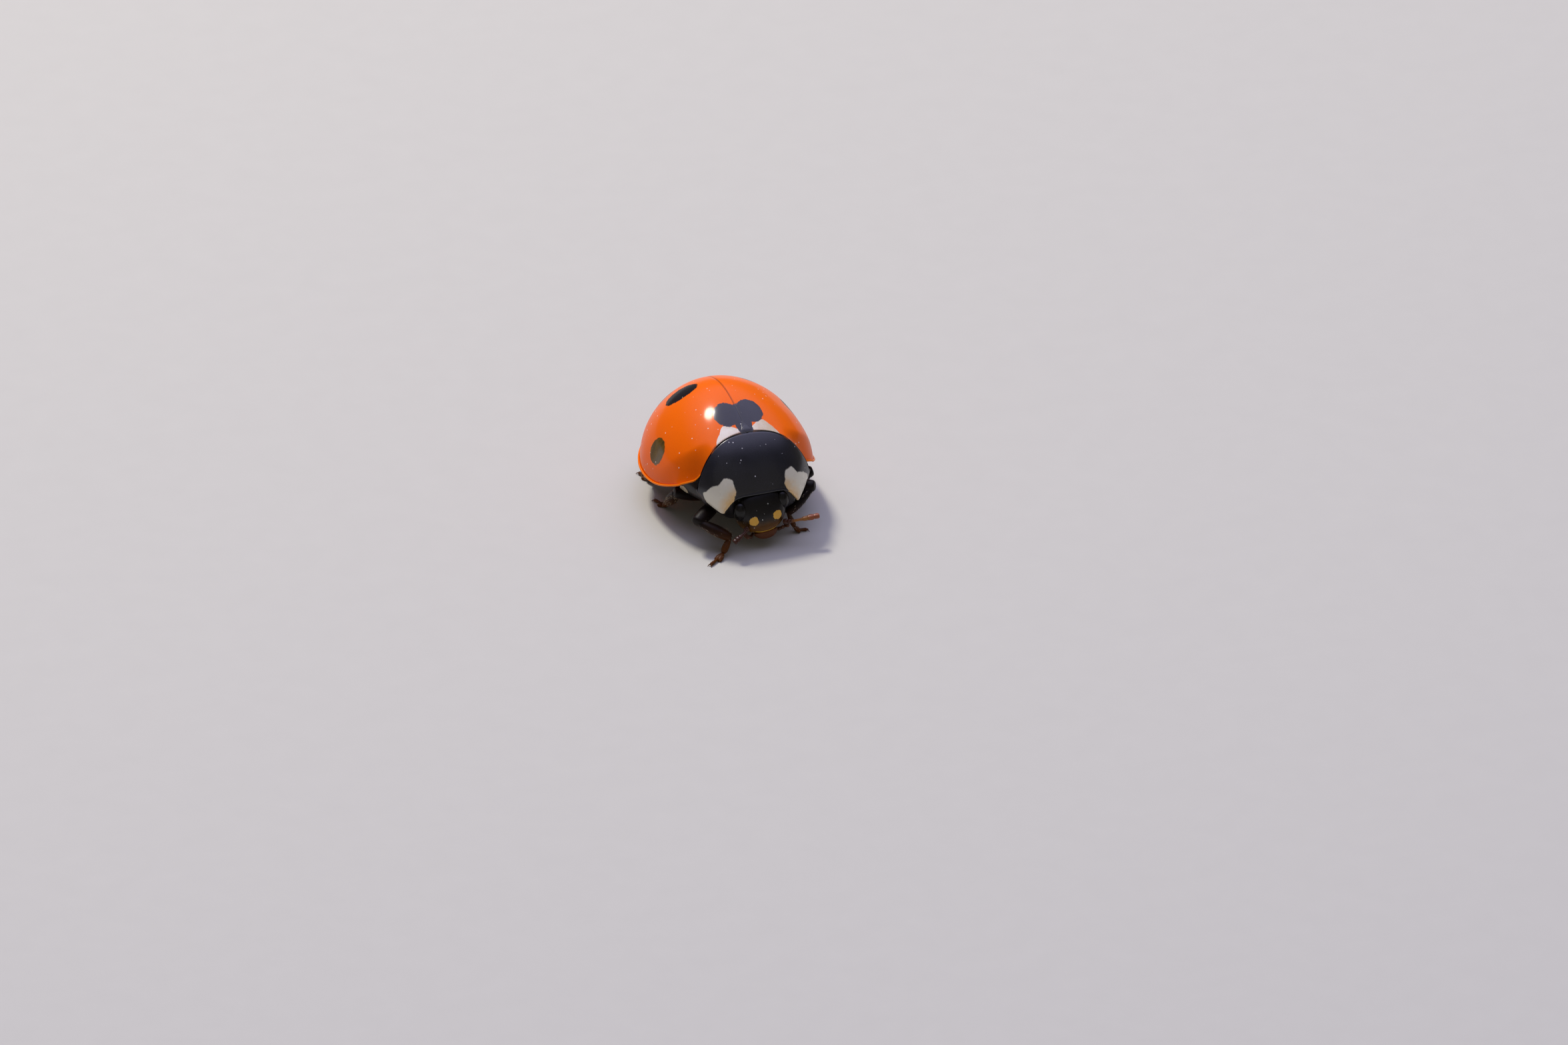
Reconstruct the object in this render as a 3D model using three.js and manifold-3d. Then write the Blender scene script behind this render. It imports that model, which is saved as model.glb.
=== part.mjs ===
// Seven-spot ladybird (Coccinella septempunctata), life size, standing with its head lowered.
// Millimetres, +Z up, head towards -Y, the animal's right side towards -X, floor at Z = 0.
// Sub-parts are shaped in a body frame whose origin is the middle of the elytral base, level with
// the lowest line of the elytral margin, and the finished animal is then set down on the floor.
import * as THREE from 'three';
import { mergeVertices } from 'three/addons/utils/BufferGeometryUtils.js';
import Module from 'manifold-3d';

const wasm = await Module();
wasm.setup();

const { clamp, degToRad, lerp } = THREE.MathUtils;
const QUARTER_TURN = Math.PI / 2;

// Driving dimensions.
const FLOOR_DROP = 1.2;            // from the elytral margin down to the floor
const CLEARANCE = 0.03;            // gap kept between neighbouring solids

const ELYTRA_HALF_WIDTH = 2.86;
const ELYTRA_LENGTH = 5.56;
const ELYTRA_HEIGHT = 2.93;
const ELYTRA_WIDEST_Y = 2.3;
const ELYTRA_FRONT_REACH = 3.45;   // front semi-axis of the plan oval, part of it under the pronotum
const ELYTRON_THICKNESS = 0.5;
const BASE_BEND = 0.14;            // forward sweep of the elytral base, per millimetre squared
const SHOULDER_X = 1.3;            // outside this the elytral base bends back into a round shoulder
const SHOULDER_BEND = 0.8;
const ELYTRA_CORNER_Y = 0.178;      // where the rounded shoulder meets the margin
const SHOULDER_FALL = 0.9;          // share of the height lost at the shoulder's front edge
const SHOULDER_FALL_WIDTH = 0.75;
const SHOULDER_FALL_DEPTH = 0.62;
const SUTURE_GAP = 0.02;
const DOME_FOCUS = new THREE.Vector3(0, ELYTRA_WIDEST_Y, -0.4);
const MARGIN_BASE = 0.04;
const MARGIN_RISE = 1.08;          // how far the margin climbs towards the shoulder
const MARGIN_RISE_START_Y = 2.6;
const MARGIN_RISE_LENGTH = 3;
const RIM_WIDTH = 0.07;
const RIM_DEPTH = 0.08;
const OVAL_POWER_FRONT = 2.31;
const OVAL_POWER_REAR = 1.97;
const FALL_POWER_FRONT = 1.93;
const FALL_POWER_REAR = 1.86;
const POWER_BLEND_LENGTH = 2.4;

const SCUTELLUM_LENGTH = 0.5;
const SCUTELLUM_HALF_WIDTH = 0.26;
const SCUTELLUM_THICKNESS = 0.25;
const SCUTELLUM_TAPER = 0.9;
const SCUTELLUM_PROUD = 0.015;     // how far the little shield stands above the elytra

const PRONOTUM_HALF_WIDTH = 2.06;
const PRONOTUM_CORNER_HEIGHT = 0.85; // of the hind corners
const PRONOTUM_REAR_POWER = 0.8;
const PRONOTUM_LENGTH = 2.17;      // chord down the midline
const PRONOTUM_SLOPE = degToRad(48);
const PRONOTUM_FRONT_HALF_WIDTH = 1.27;
const PRONOTUM_ANGLE_BACK = 0.05;  // how far the front angles stay behind the middle
const PRONOTUM_ANGLE_DROP = 0.64;
const PRONOTUM_ANGLE_POWER = 6.5;  // keeps the drop to the outermost part
const PRONOTUM_CROWN = 0.34;
const PRONOTUM_SIDE_CROWN = new THREE.Vector3(0.12, 0.06, -0.07);
const PRONOTUM_SIDE_POWER = 4.5;
const PRONOTUM_THICKNESS = 0.42;
const PRONOTUM_EDGE_THICKNESS = 0.2;
const PRONOTUM_PROUD = 0.02;       // how far its rear edge stands above and before the elytra
const PRONOTUM_SIDE_LEAN = degToRad(80);
const SHIELD_FOCUS = new THREE.Vector3(0, -0.25, -0.15);

const HEAD_HALF_WIDTH = 0.9;
const HEAD_HALF_LENGTH = 0.78;
const HEAD_HALF_DEPTH = 0.62;
const HEAD_FACE_TILT = degToRad(21);
const HEAD_ROLL = degToRad(6);       // the head leans a little to the animal's left
const HEAD_BOXINESS = 2.5;
const HEAD_SIDE_POWER = 0.74;      // below 1 the head is squarer seen from the front
const SNOUT_TAPER = 0.13;
const HEAD_CENTRE = new THREE.Vector3(0, -1.14, 0.04);
const EYE_CENTRE = new THREE.Vector3(0.77, -1.385, 0.28);
const EYE_RADII = new THREE.Vector3(0.235, 0.25, 0.35);

// Plates hung across the lower end of the face; from, to and out are measured in the head's axes.
const CLYPEUS = { halfWidth: 0.52, from: 0.5, to: 0.76, out: 0.46, thickness: 0.2 };
const LABRUM = { halfWidth: 0.42, from: 0.8, to: 1.03, out: 0.41, thickness: 0.2 };

const BELLY_DEPTH = 0.42;
const BELLY_MIDDLE_Y = 1.2;
const BELLY_REACH = 4.4;
const BELLY_POWER = 0.8;           // below 1 the belly's cross-section is boxy rather than round
const FLANK_STEP = 0.05;
const STERNUM_Z = -0.4;
const STERNUM_REAR_Y = -0.14;
const NECK_WIDTH_SHARE = 0.8;      // of the thorax, where it meets the prothorax
const NECK_GAP = 0.12;
const STERNUM_FRONT_Y = -0.92;
const WAIST_ANGLE = degToRad(8);   // row where the thorax ends and the abdomen starts
const WAIST_GAP = degToRad(0.7);
const TAIL_ANGLE = degToRad(80);

const LEG_RADIUS = 0.25;
const JOINT_RADIUS = 0.24;         // where one leg segment starts inside the end of the last
const THIGH_RADIUS = 0.29;
const KNEE_RADIUS = 0.27;
const HEEL_SHARE = 0.6;            // how far along the foot its sole starts
const FOOT_SINK = 0.05;            // how far a rounded sole reaches past the floor before it is cut flat

// Finishes: real colour, roughness and metalness of each surface.
const FINISH = {
  elytra: { color: 0xd8410c, roughness: 0.22, metalness: 0 },
  shield: { color: 0x0c0d12, roughness: 0.2, metalness: 0 },
  head: { color: 0x14120f, roughness: 0.32, metalness: 0 },
  eye: { color: 0x0a0908, roughness: 0.25, metalness: 0 },
  clypeus: { color: 0xc9921f, roughness: 0.35, metalness: 0 },
  mouth: { color: 0x3a2012, roughness: 0.4, metalness: 0 },
  antenna: { color: 0x5a2f14, roughness: 0.4, metalness: 0 },
  leg: { color: 0x120f0d, roughness: 0.35, metalness: 0 },
  underside: { color: 0x151210, roughness: 0.45, metalness: 0 },
};

// ---------------------------------------------------------------- mesh helpers

function smoothStep(t) {
  const s = clamp(t, 0, 1);
  return s * s * (3 - 2 * s);
}

function signedVolume(points, faces) {
  let sum = 0;
  for (const [a, b, c] of faces) {
    sum += points[a].dot(new THREE.Vector3().crossVectors(points[b], points[c]));
  }
  return sum / 6;
}

function geometryFrom(points, faces) {
  const outward = signedVolume(points, faces) > 0;
  const positions = points.flatMap((p) => [p.x, p.y, p.z]);
  const index = faces.flatMap(([a, b, c]) => (outward ? [a, b, c] : [a, c, b]));
  const geometry = new THREE.BufferGeometry();
  geometry.setAttribute('position', new THREE.Float32BufferAttribute(positions, 3));
  geometry.setIndex(index);
  return geometry;
}

// Skins a row of closed rings of equal length. Each end is closed by a pole point, or by strips
// between the points i and n - 1 - i of its ring, which also suits crescent-shaped rings.
function loft(rings, startPole = null, endPole = null) {
  const count = rings[0].length;
  const points = rings.flat();
  const faces = [];
  for (let r = 0; r + 1 < rings.length; r += 1) {
    for (let i = 0; i < count; i += 1) {
      const a = r * count + i;
      const b = r * count + ((i + 1) % count);
      faces.push([a, b, a + count], [b, b + count, a + count]);
    }
  }
  const closeEnd = (first, pole, turned) => {
    const push = (a, b, c) => faces.push(turned ? [a, c, b] : [a, b, c]);
    if (pole) {
      points.push(pole);
      for (let i = 0; i < count; i += 1) {
        push(first + ((i + 1) % count), first + i, points.length - 1);
      }
      return;
    }
    for (let i = 0; i + 1 < count / 2; i += 1) {
      const a = first + i;
      const b = first + count - 1 - i;
      push(a + 1, a, b);
      if (b - 1 > a + 1) {
        push(a + 1, b, b - 1);
      }
    }
  };
  closeEnd(0, startPole, false);
  closeEnd((rings.length - 1) * count, endPole, true);
  return geometryFrom(points, faces);
}

function toSolid(geometry) {
  const merged = mergeVertices(geometry, 1e-6);
  return new wasm.Manifold(new wasm.Mesh({
    numProp: 3,
    vertProperties: new Float32Array(merged.getAttribute('position').array),
    triVerts: new Uint32Array(merged.getIndex().array),
  }));
}

function toGeometry(solid) {
  const mesh = solid.getMesh();
  const geometry = new THREE.BufferGeometry();
  geometry.setAttribute('position', new THREE.BufferAttribute(new Float32Array(mesh.vertProperties), 3));
  geometry.setIndex(new THREE.BufferAttribute(new Uint32Array(mesh.triVerts), 1));
  return geometry;
}

function carve(geometry, cutters) {
  let solid = toSolid(geometry);
  for (const cutter of cutters) {
    solid = solid.subtract(toSolid(cutter));
  }
  return toGeometry(solid);
}

// Round-ended tube through the given stations; grow widens it all over.
function limb(stations, grow = 0) {
  const sides = 8;
  const path = new THREE.CatmullRomCurve3(stations.map((s) => s.at), false, 'centripetal');
  const steps = stations.length === 2 ? 3 : 2 * (stations.length - 1) + 1;
  const frames = path.computeFrenetFrames(steps);
  const rings = [];
  const ring = (t, k, scale, shift) => {
    const span = t * (stations.length - 1);
    const low = Math.min(Math.floor(span), stations.length - 2);
    const radius = (lerp(stations[low].radius, stations[low + 1].radius, span - low) + grow) * scale;
    const centre = path.getPoint(t).addScaledVector(frames.tangents[k], shift);
    return Array.from({ length: sides }, (_, i) => {
      const angle = (2 * Math.PI * (i + 0.5)) / sides;
      return centre.clone()
        .addScaledVector(frames.normals[k], radius * Math.cos(angle))
        .addScaledVector(frames.binormals[k], radius * Math.sin(angle));
    });
  };
  const startRadius = stations[0].radius + grow;
  const endRadius = stations.at(-1).radius + grow;
  rings.push(ring(0, 0, Math.SQRT1_2, -Math.SQRT1_2 * startRadius));
  for (let k = 0; k <= steps; k += 1) {
    rings.push(ring(k / steps, k, 1, 0));
  }
  rings.push(ring(1, steps, Math.SQRT1_2, Math.SQRT1_2 * endRadius));
  const startPole = path.getPoint(0).addScaledVector(frames.tangents[0], -startRadius);
  const endPole = path.getPoint(1).addScaledVector(frames.tangents[steps], endRadius);
  return loft(rings, startPole, endPole);
}

function station(x, y, z, radius = LEG_RADIUS) {
  return { at: new THREE.Vector3(x, y, z), radius };
}

function ellipsoid(centre, radii, grow = 0) {
  const geometry = new THREE.IcosahedronGeometry(1, 2);
  geometry.deleteAttribute('normal');
  geometry.deleteAttribute('uv');
  geometry.scale(radii.x + grow, radii.y + grow, radii.z + grow);
  geometry.translate(centre.x, centre.y, centre.z);
  return mergeVertices(geometry, 1e-5);
}

// ---------------------------------------------------------------- the domed outline of the elytra

function rearShare(y) {
  return smoothStep((y - ELYTRA_WIDEST_Y) / POWER_BLEND_LENGTH + 0.5);
}

function ovalReach(y) {
  return y < ELYTRA_WIDEST_Y ? ELYTRA_FRONT_REACH : ELYTRA_LENGTH - ELYTRA_WIDEST_Y;
}

function halfWidthAt(y) {
  const power = lerp(OVAL_POWER_FRONT, OVAL_POWER_REAR, rearShare(y));
  const along = Math.abs(y - ELYTRA_WIDEST_Y) / ovalReach(y);
  return ELYTRA_HALF_WIDTH * (1 - along ** power) ** (1 / power);
}

function marginHeight(y) {
  const climb = Math.max(0, (MARGIN_RISE_START_Y - y) / MARGIN_RISE_LENGTH);
  return MARGIN_BASE + MARGIN_RISE * climb ** 2;
}

function domeHeight(x, y) {
  const power = lerp(OVAL_POWER_FRONT, OVAL_POWER_REAR, rearShare(y));
  const across = (Math.abs(x) / ELYTRA_HALF_WIDTH) ** power;
  const along = (Math.abs(y - ELYTRA_WIDEST_Y) / ovalReach(y)) ** power;
  const radius = Math.min(1, (across + along) ** (1 / power));
  const fall = lerp(FALL_POWER_FRONT, FALL_POWER_REAR, rearShare(y));
  const edge = marginHeight(y);
  return edge + (ELYTRA_HEIGHT - edge) * Math.sqrt(1 - radius ** fall);
}

// The dome, rolled down along its front edge towards the shoulder.
function shellHeight(x, y) {
  const edge = marginHeight(y);
  const behind = Math.max(0, (y - shellFront(x)) / SHOULDER_FALL_DEPTH);
  const share = SHOULDER_FALL * smoothStep((x - SHOULDER_X) / SHOULDER_FALL_WIDTH);
  return edge + (domeHeight(x, y) - edge) * (1 - share * Math.max(0, 1 - behind) ** 2);
}

function outlineNormal(y) {
  const step = 0.01;
  const slope = (halfWidthAt(y + step) - halfWidthAt(y - step)) / (2 * step);
  return new THREE.Vector3(1, -slope, 0).normalize();
}

// Line along which the pronotum and the elytra meet, in plan.
function baseEdge(x) {
  return -BASE_BEND * x * x;
}

// Front edge of an elytron in plan: the base line, bent back at the shoulder.
function shellFront(x) {
  return baseEdge(x) + SHOULDER_BEND * Math.max(0, x - SHOULDER_X) ** 2;
}

// Row angle -90 degrees is the elytral base and 90 degrees the tip.
function marginY(angle) {
  const reach = angle < 0 ? ELYTRA_WIDEST_Y - ELYTRA_CORNER_Y : ELYTRA_LENGTH - ELYTRA_WIDEST_Y;
  return ELYTRA_WIDEST_Y + reach * Math.sin(angle);
}

// Point on the dome: across runs from 0 at the suture to 1 at the margin.
function domePoint(angle, across, sutureX) {
  const edgeY = marginY(angle);
  const share = (edgeY - ELYTRA_CORNER_Y) / (ELYTRA_LENGTH - ELYTRA_CORNER_Y);
  const u = Math.sin(across * QUARTER_TURN);
  const x = lerp(sutureX, halfWidthAt(edgeY), u);
  const baseY = shellFront(halfWidthAt(ELYTRA_CORNER_Y) * u);
  const sweep = (1 - share) ** 3 * (baseY - ELYTRA_CORNER_Y * u * u);
  const y = lerp(share * ELYTRA_LENGTH, edgeY, u * u) + sweep;
  return new THREE.Vector3(x, y, shellHeight(x, y));
}

function towardsFocus(point, depth) {
  const inward = new THREE.Vector3().subVectors(DOME_FOCUS, point).normalize();
  return point.clone().addScaledVector(inward, depth);
}

function mirrored(points, side) {
  return points.map((p) => new THREE.Vector3(p.x * side, p.y, p.z));
}

// One elytron: dome outside, turned-out rim, flat band below the rim and hollow inside.
function elytron(side) {
  const rows = 15;
  const columns = 8;
  const lastAngle = degToRad(89);
  const rings = [];
  for (let r = 0; r <= rows; r += 1) {
    const angle = lerp(-QUARTER_TURN, lastAngle, r / rows);
    const edgeY = marginY(angle);
    const normal = outlineNormal(Math.min(edgeY, ELYTRA_LENGTH - 0.03));
    const outside = [];
    const inside = [];
    for (let c = 0; c <= columns; c += 1) {
      const point = domePoint(angle, c / columns, SUTURE_GAP / 2);
      outside.push(point);
      inside.push(towardsFocus(point, ELYTRON_THICKNESS));
    }
    // The rim fades out at the shoulder and closes up to the suture at the tip.
    const rim = outside.at(-1).clone().addScaledVector(normal, RIM_WIDTH * smoothStep((r + 1) / 4));
    if (r === rows) {
      rim.x = SUTURE_GAP / 2;
    }
    const sill = rim.clone().setZ(rim.z - RIM_DEPTH);
    rings.push(mirrored([...outside, rim, sill, ...inside.reverse()], side));
  }
  return loft(rings);
}

function scutellum(grow = 0) {
  const rows = 4;
  const rings = [];
  for (let r = 0; r <= rows; r += 1) {
    const y = lerp(-grow, SCUTELLUM_LENGTH + grow, r / rows);
    const taper = 1 - SCUTELLUM_TAPER * (r / rows);
    const half = SCUTELLUM_HALF_WIDTH * taper + grow;
    const xs = [-half, 0, half];
    const lifted = (lift) => xs.map((x) => new THREE.Vector3(x, y, domeHeight(x, y) + lift));
    const top = lifted(SCUTELLUM_PROUD + grow);
    const low = lifted(-SCUTELLUM_THICKNESS - grow);
    rings.push([...top, ...low.reverse()]);
  }
  return loft(rings);
}

// ---------------------------------------------------------------- the pronotum

// Point on the pronotum: u from -1 to 1 across, v from 0 at the rear edge to 1 at the front edge.
function pronotumPoint(u, v) {
  const swing = Math.sin(u * QUARTER_TURN);
  const side = Math.abs(swing);
  const top = domeHeight(0, 0);
  const rearX = PRONOTUM_HALF_WIDTH * swing;
  const rearRise = (top + PRONOTUM_PROUD - PRONOTUM_CORNER_HEIGHT)
    * Math.max(0, 1 - side ** 3) ** PRONOTUM_REAR_POWER;
  const rear = new THREE.Vector3(
    rearX,
    baseEdge(rearX) - 2 * PRONOTUM_PROUD,
    PRONOTUM_CORNER_HEIGHT + rearRise,
  );
  const front = new THREE.Vector3(
    PRONOTUM_FRONT_HALF_WIDTH * swing,
    -PRONOTUM_LENGTH * Math.cos(PRONOTUM_SLOPE) + PRONOTUM_ANGLE_BACK * swing ** 2,
    top - PRONOTUM_LENGTH * Math.sin(PRONOTUM_SLOPE) - PRONOTUM_ANGLE_DROP * side ** PRONOTUM_ANGLE_POWER,
  );
  const lean = u * PRONOTUM_SIDE_LEAN;
  const crown = new THREE.Vector3(
    Math.sin(lean),
    -Math.cos(lean) * Math.sin(PRONOTUM_SLOPE),
    Math.cos(lean) * Math.cos(PRONOTUM_SLOPE),
  );
  const sideCrown = PRONOTUM_SIDE_CROWN.clone();
  sideCrown.x *= Math.sign(u);
  crown.multiplyScalar(PRONOTUM_CROWN).lerp(sideCrown, Math.abs(u) ** PRONOTUM_SIDE_POWER);
  const middle = rear.clone().add(front).multiplyScalar(0.5).add(crown);
  return new THREE.QuadraticBezierCurve3(rear, middle, front).getPoint(v);
}

function underPronotum(u, v, extra) {
  const point = pronotumPoint(u, v);
  const depth = lerp(PRONOTUM_THICKNESS, PRONOTUM_EDGE_THICKNESS, u * u) + extra;
  const inward = new THREE.Vector3().subVectors(SHIELD_FOCUS, point).normalize();
  return point.addScaledVector(inward, depth);
}

function pronotum() {
  const rows = 9;
  const columns = 16;
  const rings = [];
  for (let r = 0; r <= rows; r += 1) {
    const v = r / rows;
    const outside = [];
    const inside = [];
    for (let c = 0; c <= columns; c += 1) {
      const u = -1 + (2 * c) / columns;
      outside.push(pronotumPoint(u, v));
      inside.push(underPronotum(u, v, 0));
    }
    rings.push([...outside, ...inside.reverse()]);
  }
  return loft(rings);
}

// ---------------------------------------------------------------- the body under the shells

function bellyRing(dorsal, depth) {
  const count = dorsal.length;
  const side = dorsal.at(-1);
  const ventral = Array.from({ length: count }, (_, i) => {
    const turn = (Math.PI * (i + 0.5)) / count;
    return new THREE.Vector3(
      side.x * Math.cos(turn),
      side.y,
      side.z - FLANK_STEP - depth * Math.sin(turn) ** BELLY_POWER,
    );
  });
  return [...dorsal, ...ventral];
}

function coreRing(angle) {
  const columns = 6;
  const depth = ELYTRON_THICKNESS + CLEARANCE;
  const half = Array.from({ length: columns + 1 }, (_, c) => (
    towardsFocus(domePoint(angle, c / columns, 0), depth)
  ));
  const left = mirrored(half, -1).reverse();
  const bulge = Math.sqrt(1 - ((marginY(angle) - BELLY_MIDDLE_Y) / BELLY_REACH) ** 2);
  const side = half.at(-1);
  return bellyRing([...left.slice(0, -1), ...half], BELLY_DEPTH * bulge + side.z);
}

function core(fromAngle, toAngle, leadingRings = []) {
  const rows = 6;
  const rings = [...leadingRings];
  for (let r = 0; r <= rows; r += 1) {
    rings.push(coreRing(lerp(fromAngle, toAngle, r / rows)));
  }
  return loft(rings);
}

// The thorax's front end, drawn in and bent to the curve of the prothorax before it.
function neckRing() {
  return coreRing(-QUARTER_TURN).map((p) => {
    const x = p.x * NECK_WIDTH_SHARE;
    return new THREE.Vector3(x, baseEdge(x) + NECK_GAP, lerp(STERNUM_Z, p.z, NECK_WIDTH_SHARE));
  });
}

function prothorax() {
  const rows = 5;
  const columns = 10;
  const rings = [];
  for (let r = 0; r <= rows; r += 1) {
    const v = lerp(0.1, 0.94, r / rows);
    const dorsal = Array.from({ length: columns + 1 }, (_, c) => (
      underPronotum(lerp(-0.93, 0.93, c / columns), v, CLEARANCE)
    ));
    const side = dorsal.at(-1);
    const ventral = dorsal.map((_, i) => {
      const turn = (Math.PI * (i + 0.5)) / dorsal.length;
      const reach = Math.sin(turn) ** BELLY_POWER;
      return new THREE.Vector3(
        side.x * Math.cos(turn),
        lerp(side.y, lerp(STERNUM_REAR_Y, STERNUM_FRONT_Y, v), reach),
        lerp(side.z - FLANK_STEP, STERNUM_Z, reach),
      );
    });
    rings.push([...dorsal, ...ventral]);
  }
  return loft(rings);
}

// ---------------------------------------------------------------- the head and what it carries

const FACE_DOWN = new THREE.Vector3(0, -Math.sin(HEAD_FACE_TILT), -Math.cos(HEAD_FACE_TILT));
const FACE_OUT = new THREE.Vector3(0, -Math.cos(HEAD_FACE_TILT), Math.sin(HEAD_FACE_TILT));

// Point in the head's own axes: across, down along the face, and out of the face.
function headPoint(across, down, out) {
  return HEAD_CENTRE.clone()
    .add(new THREE.Vector3(across, 0, 0))
    .addScaledVector(FACE_DOWN, down)
    .addScaledVector(FACE_OUT, out);
}

// Turns a solid about the head's centre, as the head itself is turned.
function rolled(geometry) {
  const turn = new THREE.Matrix4().makeRotationAxis(FACE_OUT, HEAD_ROLL);
  const home = new THREE.Matrix4().makeTranslation(HEAD_CENTRE);
  const away = home.clone().invert();
  return geometry.applyMatrix4(home.multiply(turn).multiply(away));
}

function head(grow = 0) {
  const rows = 9;
  const sides = 18;
  const rings = [];
  for (let r = 1; r < rows; r += 1) {
    const h = -Math.cos((Math.PI * r) / rows);
    const swell = (1 - Math.abs(h) ** HEAD_BOXINESS) ** (1 / HEAD_BOXINESS);
    const snout = 1 - SNOUT_TAPER * Math.max(0, h);
    rings.push(Array.from({ length: sides }, (_, i) => {
      const turn = (2 * Math.PI * (i + 0.5)) / sides;
      const round = (w, squareness = 1) => Math.sign(w) * Math.abs(w) ** (squareness * 2 / HEAD_BOXINESS);
      return headPoint(
        (HEAD_HALF_WIDTH * swell * snout + grow) * round(Math.cos(turn), HEAD_SIDE_POWER),
        h * (HEAD_HALF_LENGTH + grow),
        (HEAD_HALF_DEPTH * swell + grow) * round(Math.sin(turn)),
      );
    }));
  }
  const top = headPoint(0, -HEAD_HALF_LENGTH - grow, 0);
  const bottom = headPoint(0, HEAD_HALF_LENGTH + grow, 0);
  return rolled(loft(rings, top, bottom));
}

function eye(side, grow = 0) {
  const centre = EYE_CENTRE.clone();
  centre.x *= side;
  return rolled(ellipsoid(centre, EYE_RADII, grow));
}

// A plate with a rounded lower edge that bends back towards its sides.
function mouthPlate({ halfWidth, from, to, out, thickness }, grow = 0) {
  const columns = 8;
  const rings = [];
  for (let c = 0; c <= columns; c += 1) {
    const u = -1 + (2 * c) / columns;
    const reach = Math.sqrt(1 - 0.8 * u * u);
    const x = (halfWidth + grow) * u;
    const low = lerp(from, to, reach) + grow;
    const front = out - 0.12 * u * u + grow;
    const back = front - thickness - 2 * grow;
    const high = from - grow;
    rings.push([
      headPoint(x, high, back),
      headPoint(x, high, front),
      headPoint(x, low, front - 0.3 * (low - high)),
      headPoint(x, low, back),
    ]);
  }
  return rolled(loft(rings));
}

// Mandibles and lower lip as one blunt muzzle behind the labrum.
function mouthparts(grow = 0) {
  return rolled(limb([
    station(-0.22, -1.2, -0.7, 0.2),
    station(0, -1.29, -0.76, 0.21),
    station(0.22, -1.2, -0.7, 0.2),
  ], grow));
}

function palp(side, grow = 0) {
  return rolled(limb([
    station(0.4 * side, -1.35, -0.78, 0.16),
    station(0.74 * side, -1.7, -0.46, 0.2),
  ], grow));
}

// The left feeler points outwards, the right one down and out beside the mouth.
const ANTENNAE = {
  left: [
    station(0.92, -1.86, -0.18, 0.22),
    station(1.3, -1.94, -0.18, 0.23),
    station(1.7, -2.0, -0.16),
  ],
  right: [
    station(-0.66, -1.98, -0.24, 0.22),
    station(-0.92, -2.08, -0.38, 0.23),
    station(-1.12, -2.1, -0.54),
  ],
};

// ---------------------------------------------------------------- legs

// Hip, knee, ankle and toe of each leg in the body frame; every toe stands on the floor.
const TOE_Z = -FLOOR_DROP + LEG_RADIUS - FOOT_SINK;
const LEGS = {
  fore_right: {
    hip: [-1.0, -0.1, 0.05],
    knee: [-2.17, -1.0, -0.13],
    ankle: [-1.22, -1.62, -0.6],
    toe: [-2.05, -2.2],
  },
  fore_left: {
    hip: [1.0, -0.1, 0.05],
    knee: [2.1, -0.72, 0.28],
    ankle: [1.08, -1.05, -0.38],
    toe: [1.62, -1.12],
  },
  mid_right: {
    hip: [-0.9, 0.8, -0.36],
    knee: [-2.25, 0.88, 0.02],
    ankle: [-2.2, 1.75, -0.85],
    toe: [-2.42, 2.42],
  },
  mid_left: {
    hip: [0.9, 0.8, -0.36],
    knee: [2.5, 0.6, 0.06],
    ankle: [2.38, 1.55, -0.88],
    toe: [2.56, 2.25],
  },
  hind_right: {
    hip: [-0.95, 2.35, -0.4],
    knee: [-2.28, 2.5, -0.15],
    ankle: [-2.12, 3.66, -0.88],
    toe: [-2.3, 4.36],
  },
  hind_left: {
    hip: [0.95, 2.35, -0.4],
    knee: [2.3, 2.56, -0.15],
    ankle: [2.2, 3.7, -0.88],
    toe: [2.42, 4.4],
  },
};

function femur(leg, grow = 0) {
  const [hipX, hipY, hipZ] = leg.hip;
  const [kneeX, kneeY, kneeZ] = leg.knee;
  return limb([
    station(hipX, hipY, hipZ, JOINT_RADIUS),
    station((hipX + kneeX) / 2, (hipY + kneeY) / 2, (hipZ + kneeZ) / 2, THIGH_RADIUS),
    station(kneeX, kneeY, kneeZ, KNEE_RADIUS),
  ], grow);
}

function tibia(leg, grow = 0) {
  return limb([station(...leg.knee, JOINT_RADIUS), station(...leg.ankle)], grow);
}

function tarsus(leg, grow = 0) {
  const [ankleX, ankleY, ankleZ] = leg.ankle;
  const [toeX, toeY] = leg.toe;
  return limb([
    station(ankleX, ankleY, ankleZ, JOINT_RADIUS),
    station(lerp(ankleX, toeX, HEEL_SHARE), lerp(ankleY, toeY, HEEL_SHARE), TOE_Z),
    station(toeX, toeY, TOE_Z),
  ], grow);
}

function floorBlock() {
  const block = new THREE.BoxGeometry(20, 20, 2);
  block.translate(0, 0, -FLOOR_DROP - 1);
  block.deleteAttribute('normal');
  block.deleteAttribute('uv');
  return mergeVertices(block, 1e-5);
}

// ---------------------------------------------------------------- assembly

const animal = new THREE.Group();
const body = new THREE.Group();
animal.add(body);

function addPiece(name, geometry, finish) {
  const mesh = new THREE.Mesh(geometry, new THREE.MeshStandardMaterial(finish));
  mesh.name = name;
  body.add(mesh);
}

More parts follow.
